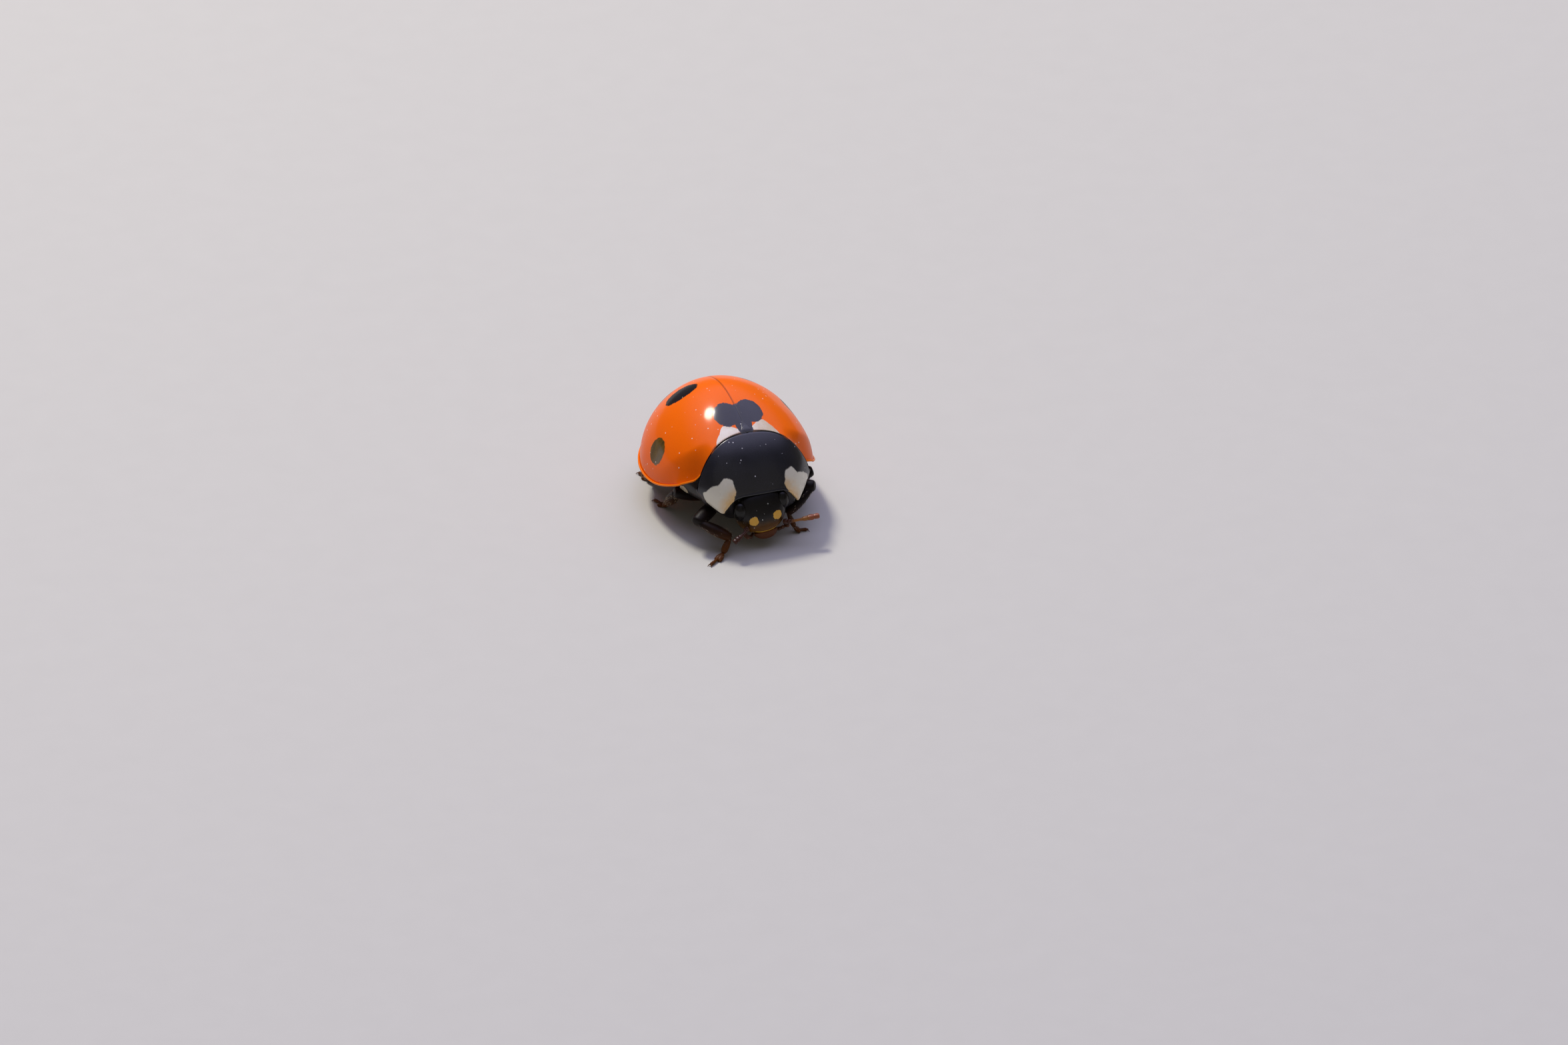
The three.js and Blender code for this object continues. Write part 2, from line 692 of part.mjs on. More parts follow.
const legs = Object.entries(LEGS);
const foreLegs = [LEGS.fore_right, LEGS.fore_left];
const femurCutters = legs.map(([, leg]) => femur(leg, CLEARANCE));
const foreShinCutters = foreLegs.map((leg) => tibia(leg, CLEARANCE));
const eyeCutters = [eye(1, CLEARANCE), eye(-1, CLEARANCE)];
const headCutters = [head(CLEARANCE), ...eyeCutters];
const mouthCutters = [mouthPlate(CLYPEUS, CLEARANCE), mouthPlate(LABRUM, CLEARANCE)];
const jawCutter = mouthparts(CLEARANCE);
const shellCutters = [scutellum(CLEARANCE), ...femurCutters];
const neckCutters = [...headCutters, jawCutter, ...femurCutters, ...foreShinCutters];
const tailStart = WAIST_ANGLE + WAIST_GAP;

addPiece('elytron_right', carve(elytron(-1), shellCutters), FINISH.elytra);
addPiece('elytron_left', carve(elytron(1), shellCutters), FINISH.elytra);
addPiece('scutellum', scutellum(), FINISH.shield);
addPiece('pronotum', carve(pronotum(), headCutters), FINISH.shield);
addPiece('prothorax', carve(prothorax(), neckCutters), FINISH.underside);
addPiece('thorax', carve(core(-QUARTER_TURN, WAIST_ANGLE, [neckRing()]), femurCutters), FINISH.underside);
addPiece('abdomen', carve(core(tailStart, TAIL_ANGLE), femurCutters), FINISH.underside);

addPiece('head', carve(head(), [...eyeCutters, ...mouthCutters]), FINISH.head);
addPiece('clypeus', mouthPlate(CLYPEUS), FINISH.clypeus);
addPiece('labrum', mouthPlate(LABRUM), FINISH.mouth);
addPiece('mouthparts', carve(mouthparts(), [...headCutters, ...mouthCutters]), FINISH.mouth);

for (const [name, side] of [['right', -1], ['left', 1]]) {
  addPiece(`eye_${name}`, eye(side), FINISH.eye);
  const palpCutters = [...headCutters, ...mouthCutters, jawCutter];
  addPiece(`palp_${name}`, carve(palp(side), palpCutters), FINISH.mouth);
  const foreLeg = LEGS[`fore_${name}`];
  const near = [palp(side, CLEARANCE), tibia(foreLeg, CLEARANCE), tarsus(foreLeg, CLEARANCE)];
  const feeler = carve(limb(ANTENNAE[name]), [...headCutters, ...mouthCutters, ...near]);
  addPiece(`antenna_${name}`, feeler, FINISH.antenna);
}

for (const [name, leg] of legs) {
  addPiece(`${name}_femur`, femur(leg), FINISH.leg);
  addPiece(`${name}_tibia`, carve(tibia(leg), [femur(leg, CLEARANCE)]), FINISH.leg);
  const foot = carve(tarsus(leg), [tibia(leg, CLEARANCE), femur(leg, CLEARANCE), floorBlock()]);
  addPiece(`${name}_tarsus`, foot, FINISH.leg);
}

// Set the animal down: its box is centred on the origin and its soles stand at Z = 0.
const extent = new THREE.Box3().setFromObject(body);
body.position.set(
  -(extent.min.x + extent.max.x) / 2,
  -(extent.min.y + extent.max.y) / 2,
  FLOOR_DROP,
);

export default animal;
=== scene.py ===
"""Seven-spot ladybird, life size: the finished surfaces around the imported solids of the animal.

Pieces are modelled in millimetres in a body frame whose origin is the middle of the wing cases'
base, level with the lowest line of their margin, and are then set down in the frame in metres.
"""
import math
import random
from contextlib import contextmanager

import bpy
from bpy.props import FloatProperty, FloatVectorProperty, IntProperty, PointerProperty
from mathutils import Matrix, Vector


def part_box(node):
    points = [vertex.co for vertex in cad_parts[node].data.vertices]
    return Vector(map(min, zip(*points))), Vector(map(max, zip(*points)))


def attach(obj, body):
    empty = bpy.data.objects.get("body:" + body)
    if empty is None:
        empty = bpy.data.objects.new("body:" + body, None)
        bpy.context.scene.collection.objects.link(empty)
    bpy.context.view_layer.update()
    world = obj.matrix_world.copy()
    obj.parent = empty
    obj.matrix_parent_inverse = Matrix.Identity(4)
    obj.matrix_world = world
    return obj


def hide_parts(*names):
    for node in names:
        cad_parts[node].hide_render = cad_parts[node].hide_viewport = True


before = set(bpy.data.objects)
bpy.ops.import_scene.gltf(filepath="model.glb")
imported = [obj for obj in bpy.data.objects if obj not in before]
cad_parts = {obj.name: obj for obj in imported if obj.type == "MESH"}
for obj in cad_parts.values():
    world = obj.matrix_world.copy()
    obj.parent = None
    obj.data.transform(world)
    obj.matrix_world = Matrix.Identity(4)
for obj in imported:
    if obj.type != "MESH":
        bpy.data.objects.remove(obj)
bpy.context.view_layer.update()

bl_info = {
    "name": "Seven-spot ladybird",
    "version": (1, 0, 0),
    "blender": (4, 5, 0),
    "location": "View3D > Sidebar > Ladybird",
    "description": "Builds a life-size seven-spot ladybird and a plain studio around it",
    "category": "Add Mesh",
}

MM = 0.001
QUARTER_TURN = math.pi / 2

# The domed outline shared by the wing cases, the neck shield and the trunk, as in the solids.
FLOOR_DROP = 1.2
SHELL_HALF_WIDTH = 2.86
SHELL_LENGTH = 5.56
SHELL_HEIGHT = 2.93
WIDEST_Y = 2.3
FRONT_REACH = 3.45
BASE_BEND = 0.14
SHOULDER_X = 1.3
SHOULDER_BEND = 0.8
CORNER_Y = 0.178
SHOULDER_FALL = 0.9
SHOULDER_FALL_START_X = 1.3
SHOULDER_FALL_WIDTH = 0.75
SHOULDER_FALL_DEPTH = 0.62
MARGIN_BASE = 0.04
MARGIN_RISE = 1.08
MARGIN_RISE_START_Y = 2.6
MARGIN_RISE_LENGTH = 3.0
OVAL_POWER = (2.31, 1.97)
FALL_POWER = (1.93, 1.86)
POWER_BLEND_LENGTH = 2.4
RIM_WIDTH = 0.07
SEAM_GAP = 0.002
DOME_FOCUS = Vector((0, WIDEST_Y, -0.4))
TRUNK_DEPTH = 0.53

SHIELD_HALF_WIDTH = 2.06
SHIELD_CORNER_HEIGHT = 0.85
SHIELD_REAR_POWER = 0.8
SHIELD_LENGTH = 2.17
SHIELD_SLOPE = math.radians(48)
SHIELD_FRONT_HALF_WIDTH = 1.27
SHIELD_ANGLE_BACK = 0.05
SHIELD_ANGLE_DROP = 0.64
SHIELD_ANGLE_POWER = 6.5
SHIELD_CROWN = 0.34
SHIELD_SIDE_CROWN = Vector((0.12, 0.06, -0.07))
SHIELD_SIDE_POWER = 4.5
SHIELD_PROUD = 0.035
SHIELD_OVERLAP = 0.03
SHIELD_SIDE_LEAN = math.radians(80)
SHIELD_FOCUS = Vector((0, -0.25, -0.15))
SHIELD_THICKNESS = 0.09

HEAD_CENTRE = Vector((0, -1.14, 0.04))
HEAD_SIZE = Vector((0.9, 0.78, 0.62))
HEAD_BOXINESS = 2.5
HEAD_SIDE_POWER = 0.74
HEAD_FACE_TILT = math.radians(21)
HEAD_ROLL = math.radians(6)
SNOUT_TAPER = 0.13
FACE_SPOT = Vector((0.43, -1.72, -0.03))
FACE_SPOT_RADII = (0.165, 0.3, 0.16)
EYE_CENTRE = Vector((0.77, -1.385, 0.28))
EYE_RADII = Vector((0.235, 0.25, 0.35))

# Where the body frame stands in the row frame: the tip of the wing cases sets it along Y.
ORIGIN = Vector((
    0,
    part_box("elytron_left")[1].y / MM - SHELL_LENGTH - RIM_WIDTH,
    FLOOR_DROP,
))

SIDES = (("right", -1), ("left", 1))


# ---------------------------------------------------------------- small sums

def lerp(a, b, t):
    """Blend from a to b."""
    return a + (b - a) * t


def smooth_step(t):
    """Ease from 0 to 1."""
    t = min(max(t, 0.0), 1.0)
    return t * t * (3 - 2 * t)


def signed_power(value, power):
    """Power that keeps the sign of its value."""
    return math.copysign(abs(value) ** power, value)


def slope_at(line, at, low=-math.inf):
    """Slope of a line, which isn't asked for any place below low."""
    step = 0.01
    return (line(at + step) - line(max(low, at - step))) / (2 * step)


def bump_at(value, centre, width):
    """Bell curve of height 1."""
    return math.exp(-((value - centre) / width) ** 2)


# ---------------------------------------------------------------- modelling helpers

def deselect_all():
    """Leave nothing selected."""
    for obj in bpy.context.selected_objects:
        obj.select_set(False)


def select_only(*objects):
    """Select these objects alone; the first is the active one."""
    deselect_all()
    for obj in objects:
        obj.select_set(True)
    bpy.context.view_layer.objects.active = objects[0]


def named(obj, name):
    """Name an object and its mesh alike."""
    obj.name = name
    obj.data.name = name
    return obj


def add_primitive(name, operator, **options):
    """Add a primitive on its own and name it."""
    deselect_all()
    operator(**options)
    return named(bpy.context.active_object, name)


@contextmanager
def editing(obj):
    """Edit mode on one object, with all of it selected."""
    select_only(obj)
    bpy.ops.object.mode_set(mode="EDIT")
    bpy.ops.mesh.select_mode(type="VERT")
    bpy.ops.mesh.select_all(action="SELECT")
    yield
    bpy.ops.object.mode_set(mode="OBJECT")


def apply_modifier(obj, kind, **values):
    """Add a modifier with these values and apply it."""
    select_only(obj)
    modifier = obj.modifiers.new(kind.title(), kind)
    for key, value in values.items():
        setattr(modifier, key, value)
    bpy.ops.object.modifier_apply(modifier=modifier.name)


def move_points(obj, target):
    """Put every vertex where target(co) says."""
    for vertex in obj.data.vertices:
        vertex.co = target(vertex.co)


def turn_outwards(obj):
    """Turn an object's faces outwards."""
    with editing(obj):
        bpy.ops.mesh.normals_make_consistent(inside=False)


def join(name, parts):
    """Join parts into one object."""
    select_only(*parts)
    bpy.ops.object.join()
    return named(bpy.context.active_object, name)


def copy_of(obj, name):
    """A copy with its own mesh."""
    twin = obj.copy()
    twin.data = obj.data.copy()
    bpy.context.scene.collection.objects.link(twin)
    return named(twin, name)


def apply_place(obj):
    """Write an object's place, turn and size into its mesh."""
    select_only(obj)
    bpy.ops.object.transform_apply(location=True, rotation=True, scale=True)


def place(obj, location, aim, roll=0.0):
    """Turn an object from +Z to aim, move it and write the place into its mesh."""
    turn = aim.to_track_quat("Z", "Y").to_matrix().to_4x4() @ Matrix.Rotation(roll, 4, "Z")
    obj.matrix_world = Matrix.Translation(location) @ turn
    apply_place(obj)


def smooth(obj, angle=None):
    """Shade smooth, with creases kept sharper than the angle."""
    select_only(obj)
    if angle is None:
        bpy.ops.object.shade_smooth()
    else:
        bpy.ops.object.shade_smooth_by_angle(angle=math.radians(angle))


def close_up(obj, crease=None, distance=0.0005):
    """Merge doubles, turn the faces outwards and shade smooth."""
    with editing(obj):
        bpy.ops.mesh.remove_doubles(threshold=distance)
    turn_outwards(obj)
    smooth(obj, crease)


def finish_piece(obj, material, nodes=()):
    """Set a piece down in the frame, in metres, give it its material and hide the solids it stands for."""
    obj.matrix_world = Matrix.Translation(ORIGIN * MM) @ Matrix.Scale(MM, 4)
    apply_place(obj)
    obj.data.materials.clear()
    obj.data.materials.append(material)
    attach(obj, "root")
    if nodes:
        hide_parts(*nodes)


def grid_sheet(name, columns, rows, shape):
    """A grid whose corners follow shape(u, v), with u and v from 0 to 1 and a UV map of the same."""
    obj = add_primitive(
        name, bpy.ops.mesh.primitive_grid_add, x_subdivisions=columns, y_subdivisions=rows, size=2,
    )
    move_points(obj, lambda co: shape((co.x + 1) / 2, (co.y + 1) / 2))
    return obj


def boxy_ball(name, boxiness, shape, segments=48, rings=32):
    """A ball swollen towards a box, each point of which then goes to shape(point)."""
    obj = add_primitive(
        name, bpy.ops.mesh.primitive_uv_sphere_add, segments=segments, ring_count=rings, radius=1,
    )
    power = 2 / boxiness

    def swollen(co):
        level = max(math.hypot(co.x, co.y), 1e-6)
        spread = level ** power
        return shape(Vector((
            spread * signed_power(co.x / level, power),
            spread * signed_power(co.y / level, power),
            signed_power(co.z, power),
        )))

    move_points(obj, swollen)
    smooth(obj)
    return obj


def joint_piece(name, start, end, profile, flatness=1.0, roll=0.0, sides=10):
    """A limb joint: a ring extruded from start to end, one step for each (share, radius) pair."""
    length = (end - start).length
    share, radius = profile[0]
    obj = add_primitive(
        name, bpy.ops.mesh.primitive_circle_add,
        vertices=sides, radius=radius, location=(0, 0, share * length),
    )
    bpy.ops.object.mode_set(mode="EDIT")
    for (share, radius), (next_share, next_radius) in zip(profile, profile[1:]):
        rise = (next_share - share) * length
        bpy.ops.mesh.extrude_region_move(TRANSFORM_OT_translate={"value": (0, 0, rise)})
        ratio = next_radius / radius
        bpy.ops.transform.resize(value=(ratio, ratio, 1), center_override=(0, 0, next_share * length))
    bpy.ops.mesh.select_all(action="SELECT")
    bpy.ops.mesh.fill_holes(sides=0)
    bpy.ops.transform.resize(value=(1, flatness, 1), center_override=(0, 0, 0))
    bpy.ops.mesh.normals_make_consistent(inside=False)
    bpy.ops.object.mode_set(mode="OBJECT")
    apply_place(obj)
    apply_modifier(obj, "SUBSURF", levels=2, render_levels=2)
    place(obj, start, end - start, roll)
    smooth(obj)
    return obj


# Share of the joint's length, and share of its radius there.
ROUND_JOINT = ((0.0, 0.5), (0.06, 0.85), (0.3, 1.0), (0.7, 1.0), (0.94, 0.85), (1.0, 0.5))


def sized(profile, radius):
    """A profile of radius shares turned into radii."""
    return [(share, radius * part) for share, part in profile]


def curved_horn(name, length, radius, tip, bend, sides=8):
    """A tapering horn that rises along +Z and bends towards +Y."""
    obj = add_primitive(
        name, bpy.ops.mesh.primitive_cone_add,
        vertices=sides, radius1=radius, radius2=tip, depth=length, location=(0, 0, length / 2),
    )
    with editing(obj):
        for cut in (0.2, 0.4, 0.6, 0.8):
            bpy.ops.mesh.select_all(action="SELECT")
            bpy.ops.mesh.bisect(plane_co=(0, 0, length * cut), plane_no=(0, 0, 1))
        bpy.ops.mesh.select_all(action="SELECT")
        bpy.ops.mesh.normals_make_consistent(inside=False)
    apply_place(obj)
    arc = length / bend

    def bent(co):
        turn = co.z / arc
        y = arc * (1 - math.cos(turn)) + co.y * math.cos(turn)
        return Vector((co.x, y, (arc - co.y) * math.sin(turn)))

    move_points(obj, bent)
    smooth(obj)
    return obj


# ---------------------------------------------------------------- the domed outline

def rear_share(y):
    """0 at the front of the dome, 1 at its rear."""
    return smooth_step((y - WIDEST_Y) / POWER_BLEND_LENGTH + 0.5)


def oval_reach(y):
    """Half-length of the oval on this side of its widest place."""
    return FRONT_REACH if y < WIDEST_Y else SHELL_LENGTH - WIDEST_Y


def half_width_at(y):
    """Half-width of the dome in plan."""
    power = lerp(*OVAL_POWER, rear_share(y))
    along = min(abs(y - WIDEST_Y) / oval_reach(y), 1.0)
    return SHELL_HALF_WIDTH * (1 - along ** power) ** (1 / power)


def margin_height(y):
    """Height of the margin, which climbs towards the shoulder."""
    climb = max(0.0, (MARGIN_RISE_START_Y - y) / MARGIN_RISE_LENGTH)
    return MARGIN_BASE + MARGIN_RISE * climb ** 2


def dome_height(x, y):
    """Height of the dome over a point of the plan."""
    power = lerp(*OVAL_POWER, rear_share(y))
    across = (abs(x) / SHELL_HALF_WIDTH) ** power
    along = (abs(y - WIDEST_Y) / oval_reach(y)) ** power
    radius = min(1.0, (across + along) ** (1 / power))
    edge = margin_height(y)
    return edge + (SHELL_HEIGHT - edge) * math.sqrt(1 - radius ** lerp(*FALL_POWER, rear_share(y)))


def shell_height(x, y):
    """Height of a wing case: the dome, rolled down along its front edge towards the shoulder."""
    edge = margin_height(y)
    behind = (y - shell_front(abs(x))) / SHOULDER_FALL_DEPTH
    share = SHOULDER_FALL * smooth_step((abs(x) - SHOULDER_FALL_START_X) / SHOULDER_FALL_WIDTH)
    return edge + (dome_height(x, y) - edge) * (1 - share * max(0.0, 1 - max(0.0, behind)) ** 2)


def outline_normal(y):
    """Outward direction of the margin in plan."""
    return Vector((1, -slope_at(half_width_at, y), 0)).normalized()


def base_edge(x):
    """Line along which the neck shield and the wing cases meet."""
    return -BASE_BEND * x * x


def shell_front(x):
    """Front edge of a wing case in plan: the base line, bent back at the shoulder."""
    return base_edge(x) + SHOULDER_BEND * max(0.0, x - SHOULDER_X) ** 2


def margin_y(angle):
    """Place of the margin for a row angle, -90 degrees at the base and 90 at the tip."""
    reach = WIDEST_Y - CORNER_Y if angle < 0 else SHELL_LENGTH - WIDEST_Y
    return WIDEST_Y + reach * math.sin(angle)


def dome_point(angle, across):
    """Point on the dome: across is 0 at the middle line and 1 at the margin."""
    edge_y = margin_y(angle)
    share = (edge_y - CORNER_Y) / (SHELL_LENGTH - CORNER_Y)
    u = math.sin(across * QUARTER_TURN)
    sweep = (1 - share) ** 3 * (shell_front(half_width_at(CORNER_Y) * u) - CORNER_Y * u * u)
    x = half_width_at(edge_y) * u
    y = lerp(share * SHELL_LENGTH, edge_y, u * u) + sweep
    return Vector((x, y, shell_height(x, y)))


def sunk(point, focus, depth):
    """The point moved towards a focus inside the body."""
    return point + (focus - point).normalized() * depth


def mirrored(point, side):
    """The point on the left (1) or right (-1) side of the body."""
    return Vector((point.x * side, point.y, point.z))


# ---------------------------------------------------------------- shader helpers

class Recipe:
    """Short calls that add nodes to one node tree and link them."""

    def __init__(self, tree):
        self.tree = tree

    def node(self, kind, inputs=None, **settings):
        """Add a shader node; inputs maps socket names or numbers to values or other sockets."""
        made = self.tree.nodes.new("ShaderNode" + kind)
        for key, value in settings.items():
            setattr(made, key, value)
        for key, value in (inputs or {}).items():
            self.feed(made.inputs[key], value)
        return made

    def feed(self, socket, value):
        """Link or set one input socket; a colour may leave out its alpha."""
        if isinstance(value, bpy.types.NodeSocket):
            self.tree.links.new(value, socket)
        elif socket.type == "RGBA":
            socket.default_value = (*value, 1.0)[:4]
        else:
            socket.default_value = value

    def math(self, operation, a, b=0.0, c=0.0, clamp=False):
        """One Math node."""
        made = self.node("Math", {0: a, 1: b, 2: c}, operation=operation, use_clamp=clamp)
        return made.outputs[0]

    def times(self, a, b, plus=0.0):
        """The product of two values, and another added to it."""
        return self.math("MULTIPLY_ADD", a, b, plus)

    def centred(self, value, width):
        """A value from 0 to 1 spread evenly about 0."""
        return self.times(value, width, -width / 2)

    def vector(self, operation, a, b):
        """One Vector Math node."""
        made = self.node("VectorMath", {0: a, 1: b}, operation=operation)
        return made.outputs["Value" if operation in ("LENGTH", "DOT_PRODUCT") else "Vector"]

    def parts(self, vector):
        """The three numbers of a vector."""
        return self.node("SeparateXYZ", {0: vector}).outputs

    def ramp(self, value, low, high, start=0.0, end=1.0):
        """Smooth step of a value from start to end between low and high."""
        made = self.node(
            "MapRange", {"Value": value, 1: low, 2: high, 3: start, 4: end}, interpolation_type="SMOOTHSTEP",
        )
        return made.outputs["Result"]

    def mix(self, factor, a, b):
        """Mix two colours."""
        return self.node("Mix", {0: factor, 6: a, 7: b}, data_type="RGBA").outputs[2]

    def tint(self, shade, mask, amount, over):
        """Lay a colour over another where the mask is, as strongly as the amount."""
        return self.mix(self.times(mask, amount), shade, over)

    def noise(self, vector, scale, detail=2.0, roughness=0.5):
        """Noise value from 0 to 1."""
        inputs = {"Vector": vector, "Scale": scale, "Detail": detail, "Roughness": roughness}
        return self.node("TexNoise", inputs).outputs["Fac"]

    def cells(self, vector, scale, randomness=1.0):
        """Distance to the middle of the nearest cell."""
        inputs = {"Vector": vector, "Scale": scale, "Randomness": randomness}
        return self.node("TexVoronoi", inputs).outputs["Distance"]

    def group(self, name, **inputs):
        """Place the node group of this name, built when it is first asked for."""
        tree = bpy.data.node_groups.get(name) or new_group(name, *GROUPS[name])
        return self.node("Group", inputs, node_tree=tree).outputs


def new_group(name, build, inputs):
    """A node group; inputs give each socket's default, and build returns the outputs by name."""
    tree = bpy.data.node_groups.new(name, "ShaderNodeTree")

    def add_socket(label, in_out, is_vector):
        kind = "NodeSocketVector" if is_vector else "NodeSocketFloat"
        return tree.interface.new_socket(name=label, in_out=in_out, socket_type=kind)

    for label, value in inputs.items():
        add_socket(label, "INPUT", isinstance(value, tuple)).default_value = value
    results = build(Recipe(tree), tree.nodes.new("NodeGroupInput").outputs)
    for label, result in results.items():
        add_socket(label, "OUTPUT", result.type == "VECTOR")
    out = tree.nodes.new("NodeGroupOutput")
    for label, result in results.items():
        tree.links.new(result, out.inputs[label])
    return tree


def body_place(recipe, given):
    """Object coordinates in metres turned into the body frame in millimetres."""
    mapping = recipe.node(
        "Mapping", {"Vector": given["Object"], "Location": -ORIGIN, "Scale": (1 / MM, 1 / MM, 1 / MM)},
    )
    x, y, z = recipe.parts(mapping.outputs[0])
    folded = recipe.node("CombineXYZ", {0: recipe.math("ABSOLUTE", x), 1: y, 2: z})
    return {"Place": mapping.outputs[0], "Mirrored": folded.outputs[0]}


def cuticle_pits(recipe, given):
    """Fine punctures spread over a cuticle."""
    distance = recipe.cells(given["Place"], given["Density"], 0.85)
    pit = recipe.ramp(distance, recipe.times(given["Width"], 0.45), given["Width"], 1.0, 0.0)
    grain = recipe.noise(given["Place"], recipe.times(given["Density"], 2.2), 3.0)
    return {"Pit": pit, "Height": recipe.math("SUBTRACT", recipe.times(grain, 0.25), pit)}


def ragged_spot(recipe, given):
    """A ragged-edged spot: an ellipsoid of space around a centre."""
    offset = recipe.vector("SUBTRACT", given["Place"], given["Centre"])
    reach = recipe.vector("LENGTH", recipe.vector("DIVIDE", offset, given["Radii"]), (0, 0, 0))
    reach = recipe.math("ADD", reach, given["Ragged"])
    low = recipe.math("SUBTRACT", 1.0, given["Softness"])
    high = recipe.math("ADD", 1.0, given["Softness"])
    return {"Mask": recipe.ramp(reach, low, high, 1.0, 0.0)}


def shine_smears(recipe, given):
    """Uneven shine, and rare pale specks: settled dust and painted glints."""
    smear = recipe.noise(given["Place"], recipe.math("DIVIDE", 1.3, given["Size"]), 4.0, 0.6)
    specks = recipe.ramp(recipe.cells(given["Place"], 4.5), 0.07, 0.13, 1.0, 0.0)
    most = recipe.math("ADD", given["Rarity"], 0.05)
    rare = recipe.ramp(recipe.noise(given["Place"], 3.1), given["Rarity"], most)
    return {"Smear": smear, "Dust": recipe.times(specks, rare)}


GROUPS = {
    "Body place": (body_place, {"Object": (0, 0, 0)}),
    "Cuticle pits": (cuticle_pits, {"Place": (0, 0, 0), "Density": 9.0, "Width": 0.3}),
    "Ragged spot": (ragged_spot, {
        "Place": (0, 0, 0), "Ragged": 0.0, "Centre": (0, 0, 0), "Radii": (1, 1, 1), "Softness": 0.04,
    }),
    "Shine smears": (shine_smears, {"Place": (0, 0, 0), "Size": 1.0, "Rarity": 0.5}),
}


class Surface(Recipe):
    """A material, its shader and the place of each point in the body frame."""

    def __init__(self, name):
        self.material = bpy.data.materials.new(name)
        self.material.use_nodes = True
        super().__init__(self.material.node_tree)
        self.tree.nodes.clear()
        self.shader = self.node("BsdfPrincipled")
        self.node("OutputMaterial", {"Surface": self.shader.outputs[0]})
        body = self.group("Body place", Object=self.node("TexCoord").outputs["Object"])
        self.place = body["Place"]
        self.folded = body["Mirrored"]

    def set(self, **values):
        """Set or link sockets of the shader; underscores in names stand for spaces."""
        for key, value in values.items():
            self.feed(self.shader.inputs[key.replace("_", " ")], value)

    def grain(self, scale, detail=2.0, roughness=0.5):
        """Noise over the body, from 0 to 1."""
        return self.noise(self.place, scale, detail, roughness)

    def marks(self, name, **inputs):
        """A node group of marks spread over the body."""
        return self.group(name, Place=self.place, **inputs)

    def spot(self, centre, radii, ragged, softness, both_sides=False):
        """Mask of one ragged spot, or of one on each side."""
        where = self.folded if both_sides else self.place
        spot = self.group(
            "Ragged spot", Place=where, Ragged=ragged, Centre=centre, Radii=radii, Softness=softness,
        )
        return spot["Mask"]

    def map_place(self):
        """Each point's place on the piece's UV map."""
        return self.parts(self.node("UVMap", uv_map="UVMap").outputs[0])

    def convex_patch(self, across, along, corners, rounding, ragged):
        """Mask of a convex patch given by its corners in order, its edges rounded and ragged."""
        inside = None
        for (x0, y0), (x1, y1) in zip(corners, corners[1:] + corners[:1]):
            length = math.hypot(x1 - x0, y1 - y0)
            normal_x = (y0 - y1) / length
            normal_y = (x1 - x0) / length
            reach = self.times(across, normal_x, -(normal_x * x0 + normal_y * y0))
            reach = self.times(along, normal_y, reach)
            inside = reach if inside is None else self.math("SMOOTH_MIN", inside, reach, rounding)
        return self.ramp(self.math("ADD", inside, ragged), -0.012, 0.012)

    def relief(self, height, depth, strength=0.5):
        """Feed a height in millimetres through a Bump node."""
        bump = self.node("Bump", {"Height": height, "Distance": depth * MM, "Strength": strength})
        self.set(Normal=bump.outputs[0])


# ---------------------------------------------------------------- materials

# Each spot's place in plan, its radii, and whether both wing cases have it.
SHELL_SPOTS = (
    (0.42, 0.94, (0.44, 0.55, 1.0), True),
    (0.0, 0.56, (0.3, 0.78, 1.0), True),
    (-2.62, 1.83, (0.62, 0.49, 0.45), False),
    (2.42, 2.3, (0.55, 0.5, 0.6), False),
    (-1.25, 3.2, (0.6, 0.44, 1.0), False),
    (1.5, 3.55, (0.58, 0.42, 1.0), False),
    (1.45, 4.46, (0.48, 0.42, 0.9), True),
)
# Corners of the white patches: in plan on a wing case, on the UV map's right half on the shield.
BASE_PATCH = [(0.16, -0.3), (1.22, -0.3), (1.1, 0.04), (0.74, 0.5), (0.56, 0.48), (0.22, 0.2)]
SHIELD_PATCH_INNER = [
    (0.39, 0.68), (0.5, 0.53), (0.7, 0.57), (1.1, 0.6), (1.1, 1.1), (0.72, 1.1), (0.42, 0.9),
]
SHIELD_PATCH_OUTER = [(0.58, 0.6), (0.86, 0.27), (1.1, 0.5), (1.1, 1.1), (0.7, 1.1)]
SIDE_PLATE = (2.02, 0.7, 0.2)
SIDE_PLATE_RADII = (0.2, 0.18, 0.16)


